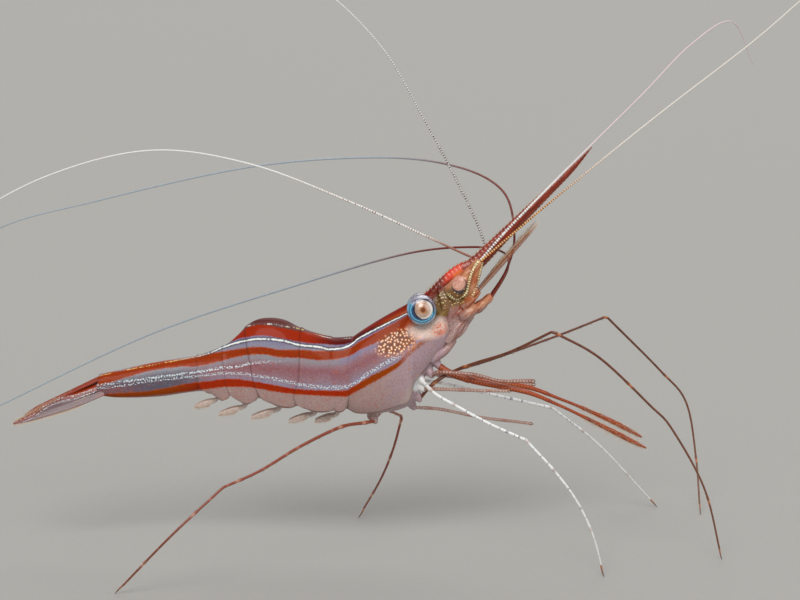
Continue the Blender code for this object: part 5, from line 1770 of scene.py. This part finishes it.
def makeRostrumBristles(finish):
    line = rostrumLine()
    ahead = turningFrames(line)[0]
    rows = len(line) - 1
    roots, leans, curls, lengths, shares, edges = [], [], [], [], [], []
    for edge, count, low, long in rostrumFringes:
        for share in spread(count, low, 0.985):
            i = int(share * rows)
            point, up = rostrumRing(line, ahead, i, edge)
            forward = Vector(ahead[i])
            out = up if edge < 0.5 else -up
            sway = Vector((0, chance.normal(0, 0.22), 0))
            roots.append(point - out * 0.05)
            leans.append(out + forward * (0.5 + chance.normal(0, 0.15)) + sway)
            curls.append(out * 0.45 + forward * 1.1 + sway * 1.4)
            lengths.append(long * (1 - 0.55 * share) * chance.uniform(0.7, 1.15))
            shares.append(share)
            edges.append(edge)
    unwrap = rowUnwrap(np.array(shares), edges)
    growBristles("rostrumBristles", roots, leans, curls, lengths, unwrap, finish, 0.02)


def makeBladeBristles(name, blade, side, finish, slot, low, long, count, edges=(0.0, math.pi)):
    start, end, across, up = bladeFrame(blade)
    forward = (end - start).normalized()
    roots, leans, curls, lengths, shares, rims = [], [], [], [], [], []
    for angle in edges:
        out = across * math.cos(angle)
        for share in spread(count, low, 0.995):
            point = bladePoint(blade, share, angle) - out * 0.04
            sway = up * chance.normal(0, 0.12)
            near = easeIn(share, low, min(1.0, low + 0.15))
            lean = out * (1.1 - 0.7 * share) + forward * 0.7 + sway
            curl = out * 0.35 + forward + sway
            for rows, vector in ((roots, point), (leans, lean), (curls, curl)):
                rows.append((vector.x, vector.y * side, vector.z))
            lengths.append(long * (0.35 + 0.65 * near) * chance.uniform(0.85, 1.1))
            shares.append(share)
            rims.append(angle / math.pi)
    growBristles(name, roots, leans, curls, lengths, rowUnwrap(np.array(shares), rims), finish, 0.022)


def makeLimbBristles(name, line, radii, finish, slot, low, high, long, count, place=leaning, radius=0.02,
                     below=0.0):
    # hairs round a limb; below above 0 keeps them to its under side
    ahead, side, up = turningFrames(line)
    last = len(line) - 1
    roots, leans, curls, lengths, shares, rounds = [], [], [], [], [], []
    for share in spread(count, low, high):
        i = min(last, int(share * last))
        angle = chance.uniform(0, 2 * math.pi)
        out = side[i] * math.cos(angle) + up[i] * math.sin(angle)
        if below:
            out = out + np.array((0, 0, -below))
            out = out - ahead[i] * out.dot(ahead[i])
            out /= np.linalg.norm(out)
        roots.append(line[i] + out * radii[i] * 0.9)
        leans.append(out + ahead[i] * 0.5)
        curls.append(out * 0.5 + ahead[i] * 1.1)
        lengths.append(long * chance.uniform(0.6, 1.15))
        shares.append(share)
        rounds.append(angle / (2 * math.pi))
    unwrap = np.stack([0.02 + 0.95 * np.array(shares), 0.02 + 0.95 * np.array(rounds)], 1)
    growBristles(name, roots, leans, curls, lengths, unwrap, finish, radius, place)


def makeAllBristles():
    amber = bristleFinish("amberBristle", bristlePaints["amber"], bristlePaints["pale"])
    dark = bristleFinish("darkBristle", bristlePaints["dark"], bristlePaints["amber"])
    makeRostrumBristles(amber)
    makeBladeBristles("telsonBristles", blades["telson"], 1, amber, "red", **fringes["telson"])
    for side, word in ((-1, "Right"), (1, "Left")):
        for kind in ("innerUropod", "outerUropod"):
            makeBladeBristles(kind + word + "Bristles", blades[kind], side, amber, "red",
                              **fringes["uropod"])
        makeBladeBristles(f"feelerScale{word}Bristles", blades["feelerScale"], side, amber, "clear",
                          **fringes["feelerScale"])
    for name, points in mouthLimbs.items():
        line, _ = smoothRoute(points, 0.2)
        slot, fringe = ("red", "maxilliped") if name.startswith("maxilliped") else ("clear", "clawLimb")
        makeLimbBristles(name + "Bristles", line[:, :3], line[:, 3], amber, slot, **fringes[fringe])
    for name, leg in walkingLegs.items():
        line, far = legRoute(leg)
        radii, _ = jointedRadii(far, leg["joints"], legShape[leg["look"]])
        makeLimbBristles(name + "Bristles", line, radii, amber, leg["look"], place=standing,
                         **fringes["walkingLeg"])
    line, _ = smoothRoute(feelers["outerFeelerLeft"]["route"], feelerShape["step"])
    shares = np.linspace(0, 1, len(line))
    radii = np.array(sampled(feelerShape["radius"], shares)) * feelerLooks["hairyBeads"]["thick"]
    makeLimbBristles("outerFeelerLeftBristles", line, radii, dark, "clear", **fringes["feeler"])
    for k in range(len(swimmerets["pairs"])):
        paths = [path for side in (-1, 1) for path in swimmeretPaths(k, side)[1:]]
        for number, path in enumerate(paths):
            line, _ = smoothRoute(path, 0.1)
            makeLimbBristles(f"swimmeretPair{k + 1}Bristles{number + 1}", line[:, :3], line[:, 3],
                             amber, "flesh", **fringes["swimmeret"])


makeAllBristles()
print("bristles made")
